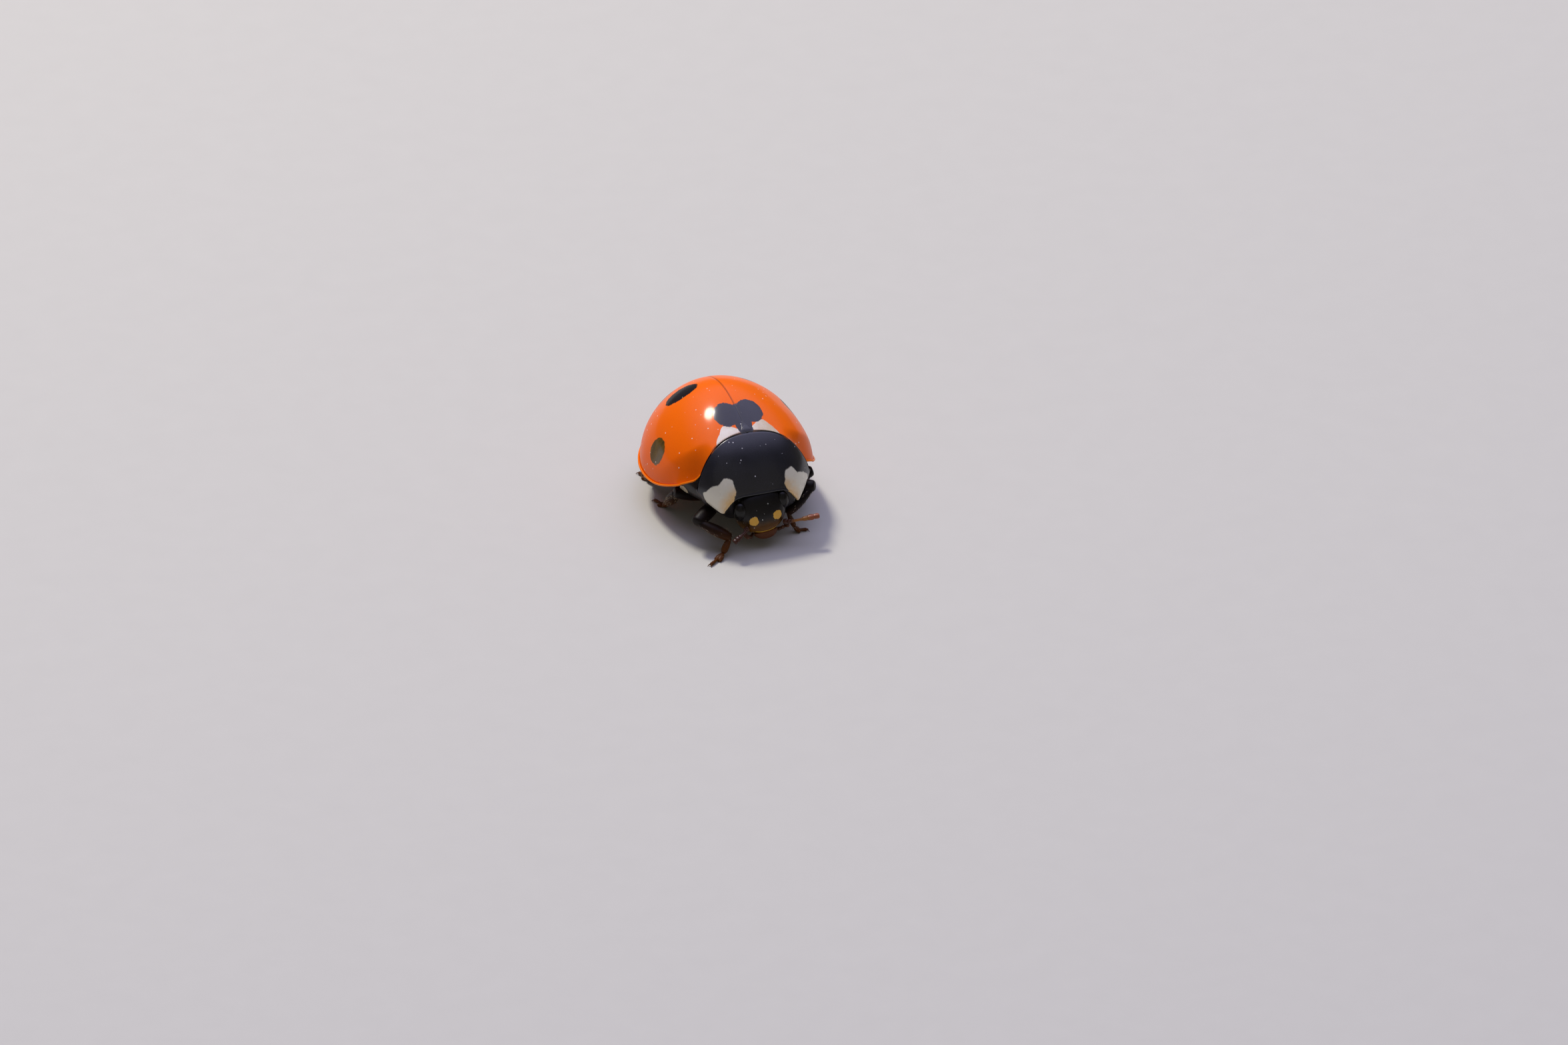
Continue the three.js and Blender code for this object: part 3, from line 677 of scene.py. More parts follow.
def wing_case_material(look):
    """Glossy orange-red with black spots, white base patches and a paler rim."""
    surface = Surface("wing_case_lacquer")
    x, y, z = surface.parts(surface.folded)
    ragged = surface.centred(surface.grain(7.0, 3.0, 0.6), 0.5 * look.ragged_edge)
    spots = 0.0
    for spot_x, spot_y, radii, both_sides in SHELL_SPOTS:
        centre = (spot_x, spot_y, dome_height(spot_x, spot_y))
        scaled = tuple(radius * look.spot_scale for radius in radii)
        spots = surface.math("MAXIMUM", spots, surface.spot(centre, scaled, ragged, 0.035, both_sides))

    mottle = surface.grain(1.1, 4.0, 0.6)
    lively = surface.math("ADD", surface.ramp(z, 0.2, 2.6), surface.centred(mottle, 0.5), clamp=True)
    red = surface.mix(lively, look.shell_deep, look.shell_orange)
    across = surface.map_place()[0]
    rim = surface.times(surface.ramp(across, 0.57, 0.6), surface.ramp(across, 0.72, 0.69))
    red = surface.tint(red, rim, 0.75, look.shell_rim)
    # Darker red along the seam: painted shade in the seam groove.
    red = surface.tint(red, surface.ramp(x, 0.01, 0.05, 1.0, 0.0), 0.6, (0.35, 0.045, 0.002))
    cream = surface.mix(surface.ramp(mottle, 0.3, 0.7), look.patch_white, (0.62, 0.5, 0.36))
    white = surface.convex_patch(x, y, BASE_PATCH, 0.06, surface.times(ragged, 0.25))
    red = surface.mix(white, red, cream)
    # Darker brown strip just behind the base line, under the neck shield's rear edge: painted shade.
    behind = surface.times(surface.times(x, x), BASE_BEND, y)
    painted_base_shade = surface.times(surface.ramp(behind, 0.07, 0.12, 1.0, 0.0), surface.ramp(x, 1.5, 1.2))
    red = surface.tint(red, painted_base_shade, 0.85, (0.2, 0.055, 0.008))

    pits = surface.marks("Cuticle pits", Density=24.0, Width=0.3)
    smears = surface.marks("Shine smears", Size=0.75)
    black = surface.mix(surface.grain(9.0), (0.004, 0.004, 0.007), (0.01, 0.01, 0.014))
    # The black spots turn olive towards the sides: painted reflection.
    painted_olive_reflection = surface.mix(surface.grain(6.0), (0.02, 0.014, 0.002), (0.17, 0.09, 0.003))
    black = surface.mix(surface.ramp(x, 1.6, 2.4), black, painted_olive_reflection)
    shade = surface.mix(spots, red, black)
    # Darker in the pits: painted shade.
    shade = surface.tint(shade, pits["Pit"], 0.12, (0.12, 0.012, 0.003))
    # Pale specks: dust and painted glints.
    shade = surface.tint(shade, smears["Dust"], 0.85, (0.9, 0.84, 0.78))
    polish = surface.times(spots, surface.ramp(y, 1.5, 2.0, 1.0, 0.0))
    surface.set(
        Base_Color=shade, Roughness=surface.times(smears["Smear"], 0.22, look.shell_roughness - 0.08),
        Coat_Weight=surface.times(polish, 0.7, 0.3), Coat_Roughness=0.12, Coat_IOR=1.5,
        IOR=1.4, Specular_IOR_Level=0.03,
        Subsurface_Weight=0.08, Subsurface_Radius=(1.0, 0.3, 0.05), Subsurface_Scale=0.1 * MM,
    )
    surface.relief(pits["Height"], 0.0022)
    return surface.material


def neck_shield_material(look):
    """Glossy blue-black with minute pits and a white patch on each front angle."""
    surface = Surface("neck_shield_lacquer")
    u, along, _ = surface.map_place()
    across = surface.math("ABSOLUTE", surface.times(u, 2.0, -1.0))
    ragged = surface.centred(surface.grain(4.0, 3.0, 0.6), 0.07)
    inner = surface.convex_patch(across, along, SHIELD_PATCH_INNER, 0.05, ragged)
    outer = surface.convex_patch(across, along, SHIELD_PATCH_OUTER, 0.05, ragged)
    white = surface.math("MAXIMUM", inner, outer)
    mottle = surface.grain(2.4, 4.0, 0.6)
    depth = surface.ramp(surface.times(mottle, 0.3, along), 0.85, 1.2)
    cream = surface.mix(depth, (0.78, 0.75, 0.63), (0.78, 0.5, 0.19))
    pits = surface.marks("Cuticle pits", Density=22.0, Width=0.24)
    smears = surface.marks("Shine smears", Size=0.8)
    black = surface.mix(mottle, look.shield_black, (0.012, 0.012, 0.02))
    shade = surface.mix(white, black, cream)
    rim = surface.times(surface.ramp(across, 0.975, 0.99), surface.times(white, -0.7, 0.85))
    shade = surface.mix(rim, shade, (0.06, 0.02, 0.006))
    # Pale specks off the white patches: dust and painted glints.
    dust_and_glints = surface.times(smears["Dust"], surface.math("SUBTRACT", 1.0, white))
    shade = surface.tint(shade, dust_and_glints, 0.8, (0.7, 0.7, 0.74))
    surface.set(
        Base_Color=shade, Roughness=surface.times(smears["Smear"], 0.2, look.shield_roughness - 0.06),
        Coat_Weight=0.7, Coat_Roughness=0.2, Coat_IOR=1.45, IOR=1.45,
        Subsurface_Weight=0.05, Subsurface_Radius=(1.0, 0.8, 0.6), Subsurface_Scale=0.05 * MM,
    )
    surface.relief(pits["Height"], 0.0012)
    return surface.material


def horn(name, dark, pale, levels, density, roughness, coat=0.15, shine=0.35):
    """Pitted cuticle, dark above and paler below: its surface and its colour."""
    surface = Surface(name)
    height = surface.parts(surface.place)[2]
    level = surface.times(surface.grain(3.2, 4.0, 0.6), 0.22, height)
    pits = surface.marks("Cuticle pits", Density=density, Width=0.3)
    smears = surface.marks("Shine smears", Size=0.5)
    shade = surface.mix(surface.ramp(level, *levels, 1.0, 0.0), dark, pale)
    # Darker in the pits: painted shade.
    shade = surface.tint(shade, pits["Pit"], 0.4, (0.003, 0.002, 0.002))
    surface.set(
        Base_Color=shade, Roughness=surface.times(smears["Smear"], 0.25, roughness - 0.1),
        Coat_Weight=coat, Coat_Roughness=0.15, IOR=1.5, Specular_IOR_Level=shine,
        Subsurface_Weight=0.12, Subsurface_Radius=(1.0, 0.5, 0.2), Subsurface_Scale=0.06 * MM,
    )
    surface.relief(pits["Height"], 0.004)
    return surface, shade


def head_material(look):
    """Black head, brown towards the mouth, with a pale yellow spot beside each eye."""
    surface, shade = horn(
        "head_cuticle", (0.004, 0.003, 0.003), (0.14, 0.056, 0.001), (-0.36, 0.14),
        density=20.0, roughness=0.3, shine=0.22,
    )
    ragged = surface.centred(surface.grain(10.0), 0.5)
    for _, side in SIDES:
        centre = tuple(rolled(mirrored(FACE_SPOT, side)))
        shade = surface.mix(surface.spot(centre, FACE_SPOT_RADII, ragged, 0.06), shade, look.face_spot)
    # Pale specks: dust and painted glints.
    dust_and_glints = surface.marks("Shine smears", Size=0.45, Rarity=0.38)["Dust"]
    surface.set(Base_Color=surface.tint(shade, dust_and_glints, 0.8, (0.6, 0.62, 0.56)))
    return surface.material


def eye_material():
    """Nearly black compound eye with a faint brown depth between its facets."""
    surface = Surface("eye_facets")
    tone = surface.ramp(surface.cells(surface.place, 34.0, 0.25), 0.1, 0.6)
    surface.set(
        Base_Color=surface.mix(tone, (0.016, 0.011, 0.007), (0.003, 0.003, 0.003)),
        Roughness=surface.times(surface.grain(6.0, 3.0), 0.2, 0.2),
        Coat_Weight=0.15, Coat_Roughness=0.1, IOR=1.45, Specular_IOR_Level=0.25,
    )
    return surface.material


def hair_material(name, root, tip):
    """Pale translucent hairs."""
    surface = Surface(name)
    tone = surface.grain(14.0)
    surface.set(
        Base_Color=surface.mix(surface.ramp(tone, 0.35, 0.65), root, tip),
        Roughness=surface.times(tone, 0.2, 0.3), IOR=1.45, Specular_IOR_Level=0.6,
    )
    return surface.material


def underside_material():
    """Black finely wrinkled underside with the side plate of the mid chest, its white dulled by painted
    shade.
    """
    surface, shade = horn(
        "underside_cuticle", (0.007, 0.006, 0.006), (0.028, 0.014, 0.008), (-1.1, -0.5),
        density=10.0, roughness=0.38, coat=0.2,
    )
    ragged = surface.centred(surface.grain(8.0), 0.5)
    # The side plate's white is dulled to a grey-buff: painted shade under the wing cases.
    plate = surface.spot(SIDE_PLATE, SIDE_PLATE_RADII, ragged, 0.08, both_sides=True)
    surface.set(Base_Color=surface.mix(plate, shade, (0.5, 0.43, 0.3)))
    return surface.material


# ---------------------------------------------------------------- settings

def colour_property(name, description, default):
    """A colour setting."""
    return FloatVectorProperty(
        name=name, description=description, default=default, subtype="COLOR", min=0, max=1, size=3,
    )


def roughness_property(name, description, default):
    """A roughness setting."""
    return FloatProperty(
        name=name, description=description, default=default, min=0.08, max=1, subtype="FACTOR",
    )


def hair_length_property(name, description, default):
    """The length of a kind of hair."""
    return FloatProperty(
        name=name, description=description, default=default,
        min=0.00002, max=0.0004, unit="LENGTH", precision=5,
    )


class LadybirdLook(bpy.types.PropertyGroup):
    """Colours, gloss and markings."""

    shell_orange: colour_property("Shell top", "Wing case colour on top", (0.94, 0.15, 0.002))
    shell_deep: colour_property("Shell side", "Wing case colour low on the sides", (0.9, 0.13, 0.001))
    shell_rim: colour_property("Shell rim", "Paler colour of the wing case rim", (0.95, 0.23, 0.004))
    patch_white: colour_property("Base patch", "White patch beside the little shield", (0.86, 0.8, 0.74))
    shield_black: colour_property("Neck shield", "Black of the neck shield", (0.004, 0.004, 0.007))
    face_spot: colour_property("Face spot", "Pale spot beside each eye", (0.75, 0.42, 0.06))
    shell_roughness: roughness_property("Shell roughness", "Roughness of the wing cases", 0.3)
    shield_roughness: roughness_property("Shield roughness", "Roughness of the neck shield", 0.22)
    spot_scale: FloatProperty(
        name="Spot size", description="Size of the black spots, 1 as modelled", default=1, min=0.5, max=1.4,
    )
    ragged_edge: FloatProperty(
        name="Ragged edge", description="How uneven the spots' edges are", default=0.55, min=0, max=2,
    )


class LadybirdCoat(bpy.types.PropertyGroup):
    """Bristles and down."""

    bristle_length: hair_length_property("Bristle length", "Length of the leg bristles", 0.00011)
    bristles_per_shin: IntProperty(
        name="Bristles", description="Bristles on each shin", default=90, min=0, max=400,
    )
    down_length: hair_length_property("Down length", "Length of the down under the body", 0.00009)
    down_count: IntProperty(
        name="Down hairs", description="Hairs under the body", default=1400, min=0, max=4000,
    )


class LadybirdStage(bpy.types.PropertyGroup):
    """Camera, floor and lights."""

    azimuth: FloatProperty(
        name="Azimuth", description="Camera's turn round the animal, 0 looks along +Y",
        default=math.radians(-20), subtype="ANGLE",
    )
    elevation: FloatProperty(
        name="Elevation", description="Camera's height above the horizon",
        default=math.radians(30), subtype="ANGLE",
    )
    frame_width: FloatProperty(
        name="Frame width", description="Width of what the camera sees at the animal",
        default=0.05345, unit="LENGTH", precision=5,
    )
    key_power: FloatProperty(
        name="Key light", description="Power of the main soft light", default=1.0, min=0, subtype="POWER",
    )
    floor_colour: colour_property("Floor", "Colour of the floor", (0.57, 0.565, 0.51))


# ---------------------------------------------------------------- wing cases

OUTSIDE = 64
RIM = 12
UNDERFOLD = 8
INSIDE = 24
SHELL_COLUMNS = OUTSIDE + RIM + UNDERFOLD + INSIDE
FRONT_ROWS = 44
SIDE_ROWS = 106
SHELL_ROWS = FRONT_ROWS + SIDE_ROWS
SHELL_THICKNESS = 0.09
UNDERFOLD_WIDTH = 0.46
UNDERFOLD_RISE = 0.1
UNDERFOLD_HOLLOW = 0.05
TUCK_DEPTH = SHELL_THICKNESS * 1.4
FRONT_FAN_LENGTH = 1.3
FRONT_FAN_POWER = 1.6
BEAD_RADIUS = 0.04
BEAD_START_X = 1.3
BEAD_GROWTH = 0.3
RIM_TURN = (math.radians(165), math.radians(-100))
RIM_SINK = 0.01
NEAR_EDGE = 0.96
GUTTER_DEPTH = 0.02
SEAM_GROOVE_DEPTH = 0.014
SEAM_GROOVE_WIDTH = 0.035
# Rows over which the section opens at each end, and over which the front edge turns into the rim.
END_ROWS = 5
TURNING_ROWS = 20
FRONT_TILT = 0.85


def shell_row(row):
    """Ends of one row of a wing case in plan, seam then edge, with the edge's outward direction."""
    if row <= FRONT_ROWS:
        t = row / FRONT_ROWS
        x = lerp(SEAM_GAP, half_width_at(CORNER_Y), t)
        seam = Vector((SEAM_GAP, FRONT_FAN_LENGTH * t ** FRONT_FAN_POWER, 0))
        outwards = Vector((slope_at(shell_front, x, 0.0), -1, 0)).normalized()
        return seam, Vector((x, shell_front(x), 0)), outwards
    t = (row - FRONT_ROWS) / SIDE_ROWS
    start_angle = math.asin((CORNER_Y - WIDEST_Y) / FRONT_REACH)
    angle = lerp(start_angle, QUARTER_TURN, t)
    reach = FRONT_REACH if angle < 0 else SHELL_LENGTH - WIDEST_Y
    y = WIDEST_Y + reach * math.sin(angle)
    share = (y - CORNER_Y) / (SHELL_LENGTH - CORNER_Y)
    seam = Vector((SEAM_GAP, lerp(FRONT_FAN_LENGTH, SHELL_LENGTH, share), 0))
    width = max(half_width_at(y), SEAM_GAP)
    return seam, Vector((width, y, 0)), outline_normal(min(y, SHELL_LENGTH - 0.02))


def rim_profile(t):
    """Reflexed rim: a gutter, a rounded bead and its underside, as (outwards, upwards)."""
    turn = lerp(*RIM_TURN, smooth_step(t))
    gutter = GUTTER_DEPTH * bump_at(t, 0.14, 0.12)
    out = RIM_WIDTH - BEAD_RADIUS + BEAD_RADIUS * math.cos(turn)
    return out, BEAD_RADIUS * math.sin(turn) - RIM_SINK - gutter


def shell_point(row, column):
    """Point on the closed cross-section of a wing case."""
    seam, edge, outwards = shell_row(row)
    full = smooth_step(row / END_ROWS) * smooth_step((SHELL_ROWS - row) / END_ROWS)
    bead = full * (smooth_step((edge.x - BEAD_START_X) / BEAD_GROWTH) if row < FRONT_ROWS else 1.0)
    if column <= OUTSIDE:
        u = math.sin(column / OUTSIDE * QUARTER_TURN)
        plan = seam.lerp(edge, u)
        groove = SEAM_GROOVE_DEPTH * bump_at(plan.x, 0.0, SEAM_GROOVE_WIDTH) * full
        return Vector((plan.x, plan.y, shell_height(plan.x, plan.y) - groove))
    near = seam.lerp(edge, NEAR_EDGE)
    drop = shell_height(near.x, near.y) - shell_height(edge.x, edge.y)
    edge.z = shell_height(edge.x, edge.y)
    column -= OUTSIDE
    frontal = smooth_step((FRONT_ROWS - row) / TURNING_ROWS + 0.5)
    tilt = FRONT_TILT * math.atan2(drop, (edge - near).dot(outwards)) * frontal
    out_axis = outwards * math.cos(tilt) - Vector((0, 0, math.sin(tilt)))
    up_axis = outwards * math.sin(tilt) + Vector((0, 0, math.cos(tilt)))
    if column <= RIM:
        out, up = rim_profile(column / RIM)
        return edge + (out_axis * out + up_axis * up) * bead
    column -= RIM
    out, up = rim_profile(1.0)
    lip = edge + (out_axis * out + up_axis * up) * bead
    width = UNDERFOLD_WIDTH * (1 - 0.72 * smooth_step((edge.y - 2.0) / 3.2)) * full
    fold_edge = edge - out_axis * width + up_axis * (up + UNDERFOLD_RISE) * full
    tucked = sunk(edge, DOME_FOCUS, TUCK_DEPTH * full)
    fold_edge = fold_edge.lerp(tucked, frontal)
    if column <= UNDERFOLD:
        t = column / UNDERFOLD
        hollow = up_axis * UNDERFOLD_HOLLOW * math.sin(math.pi * t) * full * (1 - frontal)
        return lip.lerp(fold_edge, t) + hollow
    t = (column - UNDERFOLD) / INSIDE
    plan = seam.lerp(edge, math.sin((1 - t) * QUARTER_TURN))
    inner = sunk(Vector((plan.x, plan.y, shell_height(plan.x, plan.y))), DOME_FOCUS, SHELL_THICKNESS * full)
    return fold_edge.lerp(inner, smooth_step(t * 5))


def build_wing_cases(look):
    """Left wing case from one grid, closed and mirrored into the right one."""
    material = wing_case_material(look)

    def shape(u, v):
        return shell_point(round(v * SHELL_ROWS), round(u * SHELL_COLUMNS) % SHELL_COLUMNS)

    left = grid_sheet("wing_case_left", SHELL_COLUMNS, SHELL_ROWS, shape)
    close_up(left, 50, 0.0006)
    right = copy_of(left, "wing_case_right")
    move_points(right, lambda co: mirrored(co, -1))
    turn_outwards(right)
    finish_piece(left, material, ["elytron_left"])
    finish_piece(right, material, ["elytron_right"])


def build_little_shield():
    """Scutellum: a small domed triangle between the bases of the wing cases."""
    length = 0.5
    half_base = 0.225

    def shape(u, v):
        taper = 1 - 0.97 * v
        half = half_base * taper * (1 + 0.08 * math.sin(math.pi * v))
        x = (2 * u - 1) * half
        y = 0.01 + (length - 0.01) * v
        lift = -0.02 + 0.034 * smooth_step(v / 0.3)
        lift += 0.02 * (1 - (2 * u - 1) ** 2) * math.sin(math.pi * min(1, v + 0.35))
        return Vector((x, y, dome_height(x, y) + lift))

    obj = grid_sheet("little_shield", 28, 30, shape)
    apply_modifier(obj, "SOLIDIFY", thickness=0.07, offset=-1)
    edge = math.radians(50)
    apply_modifier(obj, "BEVEL", width=0.012, segments=3, limit_method="ANGLE", angle_limit=edge)
    close_up(obj, 50)
    surface, _ = horn(
        "little_shield_lacquer", (0.005, 0.005, 0.008), (0.01, 0.01, 0.014), (0, 1),
        density=14.0, roughness=0.24, coat=0.5,
    )
    finish_piece(obj, surface.material, ["scutellum"])


# ---------------------------------------------------------------- neck shield and trunk

def shield_point(u, v):
    """Point on the neck shield: u from -1 to 1 across, v from 0 at the rear to 1 at the front."""
    swing = math.sin(u * QUARTER_TURN)
    rear_x = SHIELD_HALF_WIDTH * swing
    rear_rise = dome_height(0, 0) + SHIELD_PROUD - SHIELD_CORNER_HEIGHT
    rear_z = SHIELD_CORNER_HEIGHT + rear_rise * (1 - abs(swing) ** 3) ** SHIELD_REAR_POWER
    rear = Vector((rear_x, base_edge(rear_x) + SHIELD_OVERLAP, rear_z))
    front = Vector((
        SHIELD_FRONT_HALF_WIDTH * swing,
        -SHIELD_LENGTH * math.cos(SHIELD_SLOPE) + SHIELD_ANGLE_BACK * swing ** 2,
        dome_height(0, 0) - SHIELD_LENGTH * math.sin(SHIELD_SLOPE)
        - SHIELD_ANGLE_DROP * abs(swing) ** SHIELD_ANGLE_POWER,
    ))
    lean = u * SHIELD_SIDE_LEAN
    crown = SHIELD_CROWN * Vector((
        math.sin(lean),
        -math.cos(lean) * math.sin(SHIELD_SLOPE),
        math.cos(lean) * math.cos(SHIELD_SLOPE),
    ))
    side = mirrored(SHIELD_SIDE_CROWN, math.copysign(1, u))
    middle = (rear + front) / 2 + crown.lerp(side, abs(u) ** SHIELD_SIDE_POWER)
    return rear * (1 - v) ** 2 + middle * 2 * v * (1 - v) + front * v ** 2


SHIELD_TOP = 104
SHIELD_BEAD = 8
SHIELD_INSIDE = 48
SHIELD_COLUMNS = SHIELD_TOP + SHIELD_INSIDE + 2 * SHIELD_BEAD
SHIELD_ROWS = 72
SHIELD_BEAD_RADIUS = 0.028
SHIELD_BEAD_START = (-0.5, 0.87)
SHIELD_BEAD_TURN = (math.radians(120), math.radians(-100))
SHIELD_INSIDE_REACH = 0.97
SHIELD_SQUARENESS = (9, 5)


def rounded_corners(a, b):
    """A square of half-width 1 squeezed so that its corners are rounded off, most of all in front."""
    reach = max(abs(a), abs(b), 1e-9)
    power = lerp(*SHIELD_SQUARENESS, smooth_step((b + 1) / 2))
    spread = (abs(a) ** power + abs(b) ** power) ** (1 / power)
    share = reach / max(spread, 1e-9)
    return a * share, b * share


def rounded_shield_point(a, b):
    """The neck shield with its corners rounded off; a and b run from -1 to 1."""
    u, along = rounded_corners(a, b)
    return shield_point(u, (along + 1) / 2)


def shield_loop_point(column, b):
    """Point on the shield's closed cross-section: top, left bead, inside, right bead."""
    end = min(1.0, (1 - abs(b)) / 0.05)
    full = math.sqrt(max(0.0, 1 - (1 - end) ** 2))
    if column <= SHIELD_TOP:
        a = 2 * column / SHIELD_TOP - 1
        lip = 0.008 * bump_at(b, 0.975, 0.02) - 0.006 * bump_at(b, 0.92, 0.03)
        lip -= 0.05 * max(0.0, 1 - (b + 1) / 0.09) ** 2
        return sunk(rounded_shield_point(a, b), SHIELD_FOCUS, -lip)
    column -= SHIELD_TOP
    side = 1
    if column > SHIELD_BEAD + SHIELD_INSIDE:
        side = -1
        column = 2 * SHIELD_BEAD + SHIELD_INSIDE - column
    if column <= SHIELD_BEAD:
        edge = rounded_shield_point(side, b)
        ahead = rounded_shield_point(side, min(1.0, b + 0.02))
        along = ahead - rounded_shield_point(side, max(-1.0, b - 0.02))
        outwards = edge - rounded_shield_point(side * 0.8, b)
        outwards = (outwards - outwards.project(along)).normalized()
        upwards = edge - SHIELD_FOCUS
        upwards = (upwards - upwards.project(along) - upwards.project(outwards)).normalized()
        turn = lerp(*SHIELD_BEAD_TURN, column / SHIELD_BEAD)
        out = math.cos(turn) - SHIELD_BEAD_START[0]
        up = math.sin(turn) - SHIELD_BEAD_START[1]
        return edge + (outwards * out + upwards * up) * SHIELD_BEAD_RADIUS * full
    a = SHIELD_INSIDE_REACH * (1 - 2 * (column - SHIELD_BEAD) / SHIELD_INSIDE)
    return sunk(rounded_shield_point(a, b), SHIELD_FOCUS, SHIELD_THICKNESS * full)


def build_neck_shield(look):
    """Pronotum: a crowned shield with a beaded side margin and rounded corners."""

    def shape(u, v):
        b = -math.cos(math.pi * v)
        return shield_loop_point(round(u * SHIELD_COLUMNS) % SHIELD_COLUMNS, b)

    obj = grid_sheet("neck_shield", SHIELD_COLUMNS, SHIELD_ROWS, shape)
    for loop, map_place in zip(obj.data.loops, obj.data.uv_layers["UVMap"].data):
        row, column = divmod(loop.vertex_index, SHIELD_COLUMNS + 1)
        share = column / SHIELD_TOP
        if column > SHIELD_TOP + SHIELD_BEAD:
            share = 1 - (column - SHIELD_TOP - SHIELD_BEAD) / SHIELD_INSIDE
        share = min(max(share, 0.0), 1.0)
        u, along = rounded_corners(2 * share - 1, -math.cos(math.pi * row / SHIELD_ROWS))
        map_place.uv = ((u + 1) / 2, (along + 1) / 2)
    close_up(obj, 60, 0.0004)
    finish_piece(obj, neck_shield_material(look), ["pronotum"])


BELLY_DEPTH = 0.42
BELLY_MIDDLE_Y = 1.2
BELLY_REACH = 4.4
STERNUM_LEVEL = -0.4


def closed_ring(dorsal, low_y, low_z):
    """A dorsal arch closed by a boxy belly that reaches low_y and low_z in the middle."""
    side = dorsal[-1]
    ring = list(dorsal)
    for i in range(len(dorsal)):
        turn = math.pi * (i + 0.5) / len(dorsal)
        reach = math.sin(turn) ** 0.8
        y = lerp(side.y, low_y, reach)
        ring.append(Vector((side.x * math.cos(turn), y, lerp(side.z - 0.05, low_z, reach))))
    return ring


def trunk_ring(angle, columns=26):
    """Cross-section of the trunk under the wing cases."""
    half = [sunk(dome_point(angle, c / columns), DOME_FOCUS, TRUNK_DEPTH) for c in range(columns + 1)]
    dorsal = [mirrored(p, -1) for p in reversed(half[1:])] + half
    bulge = math.sqrt(max(0.0, 1 - ((margin_y(angle) - BELLY_MIDDLE_Y) / BELLY_REACH) ** 2))
    return closed_ring(dorsal, half[-1].y, -0.05 - BELLY_DEPTH * bulge)


def trunk_rings(start, end, rows):
    """Cross-sections of the trunk from one row angle to another."""
    return [trunk_ring(lerp(start, end, row / rows)) for row in range(rows + 1)]


def drawn_in(ring, width, behind, height):
    """A ring narrowed, bent to the curve of the base line and flattened."""
    result = []
    for point in ring:
        x = point.x * width
        result.append(Vector((x, base_edge(x) + behind, lerp(STERNUM_LEVEL, point.z, height))))
    return result


def loft(name, rings):
    """A closed skin over rings of equal length, capped at both ends."""
    count = len(rings[0])
    last = len(rings) - 1
    obj = grid_sheet(name, count, last, lambda u, v: rings[round(v * last)][round(u * count) % count])
    with editing(obj):
        bpy.ops.mesh.remove_doubles(threshold=0.0005)
        bpy.ops.mesh.fill_holes(sides=0)
        bpy.ops.mesh.normals_make_consistent(inside=False)
    return obj


def blended_rings(rings, steps):
    """Extra rings between the given ones."""
    result = []
    for first, second in zip(rings, rings[1:]):
        for step in range(steps):
            result.append([a.lerp(b, step / steps) for a, b in zip(first, second)])
    return result + [rings[-1]]


# Where the seams between the belly's plates cross the middle line.
BELLY_GROOVES = (3.28, 3.82, 4.28, 4.68, 5.0)
CHEST_SEAM_Y = 1.35
COLLAR_SEAM_Y = 0.62
RELIEF_DEPTH = 0.3
WAIST_ANGLE = math.radians(8)
FORE_BODY_DEPTH = 0.13
FORE_BODY_LOW_Y = (-0.14, -0.92)
HIPS = {"mid": Vector((0.9, 0.8, -0.4)), "hind": Vector((0.95, 2.35, -0.42))}


def chest_relief(point):
    """Raised hip sockets and sunk seams on the underside of the chest."""
    if point.z > 0.1:
        return point
    flank = smooth_step((0.1 - point.z) / RELIEF_DEPTH)
    lift = 0.0
    for hip in HIPS.values():
        away = math.hypot((abs(point.x) - hip.x) / 0.5, (point.y - hip.y) / 0.3)
        lift += 0.07 * bump_at(away, 1.05, 0.25) - 0.09 * bump_at(away, 0.0, 0.7)
    lift -= 0.035 * bump_at(abs(point.x), 0.0, 0.035)
    lift -= 0.05 * bump_at(point.y, CHEST_SEAM_Y, 0.045) * smooth_step((1.9 - abs(point.x)) / 0.4)
    lift -= 0.04 * bump_at(point.y + 0.25 * abs(point.x), COLLAR_SEAM_Y, 0.04)
    return point + Vector((0, 0, -lift * flank))


def belly_relief(point):
    """Plates of the belly, each overlapping the next, and a dent at each side."""
    if point.z > 0.2:
        return point
    lift = 0.0
    for groove in BELLY_GROOVES:
        bend = groove - 0.1 * (1 - min(1.0, abs(point.x) / 2.0))
        step = point.y - bend
        lift += 0.035 * bump_at(step, -0.05, 0.07) - 0.055 * bump_at(step, 0.03, 0.035)
    lift -= 0.03 * bump_at(abs(point.x), 1.75, 0.16)
    return point + Vector((0, 0, -lift * smooth_step((0.2 - point.z) / RELIEF_DEPTH)))


def build_trunk():
    """Fore body, chest and belly under the shells."""
    material = underside_material()
    first = trunk_ring(-QUARTER_TURN)
    neck = blended_rings([drawn_in(first, 0.8, 0.12, 0.8), first], 8)
    chest = loft("chest", neck[:-1] + trunk_rings(-QUARTER_TURN, WAIST_ANGLE, 46))
    move_points(chest, chest_relief)
    belly = loft("belly", trunk_rings(WAIST_ANGLE + math.radians(0.3), math.radians(81), 90))
    move_points(belly, belly_relief)

    rows = 30
    columns = 40
    rings = []
    for row in range(rows + 1):
        v = lerp(0.1, 0.94, row / rows)
        dorsal = []
        for column in range(columns + 1):
            u = lerp(-0.93, 0.93, column / columns)
            dorsal.append(sunk(shield_point(u, v), SHIELD_FOCUS, FORE_BODY_DEPTH))
        rings.append(closed_ring(dorsal, lerp(*FORE_BODY_LOW_Y, v), STERNUM_LEVEL))
    collar = blended_rings([drawn_in(rings[0], 0.9, 0.26, 0.92), rings[0]], 6)
    fore_body = loft("fore_body", collar[:-1] + rings)

    for obj, node in ((chest, "thorax"), (belly, "abdomen"), (fore_body, "prothorax")):
        smooth(obj, 60)
        finish_piece(obj, material, [node])


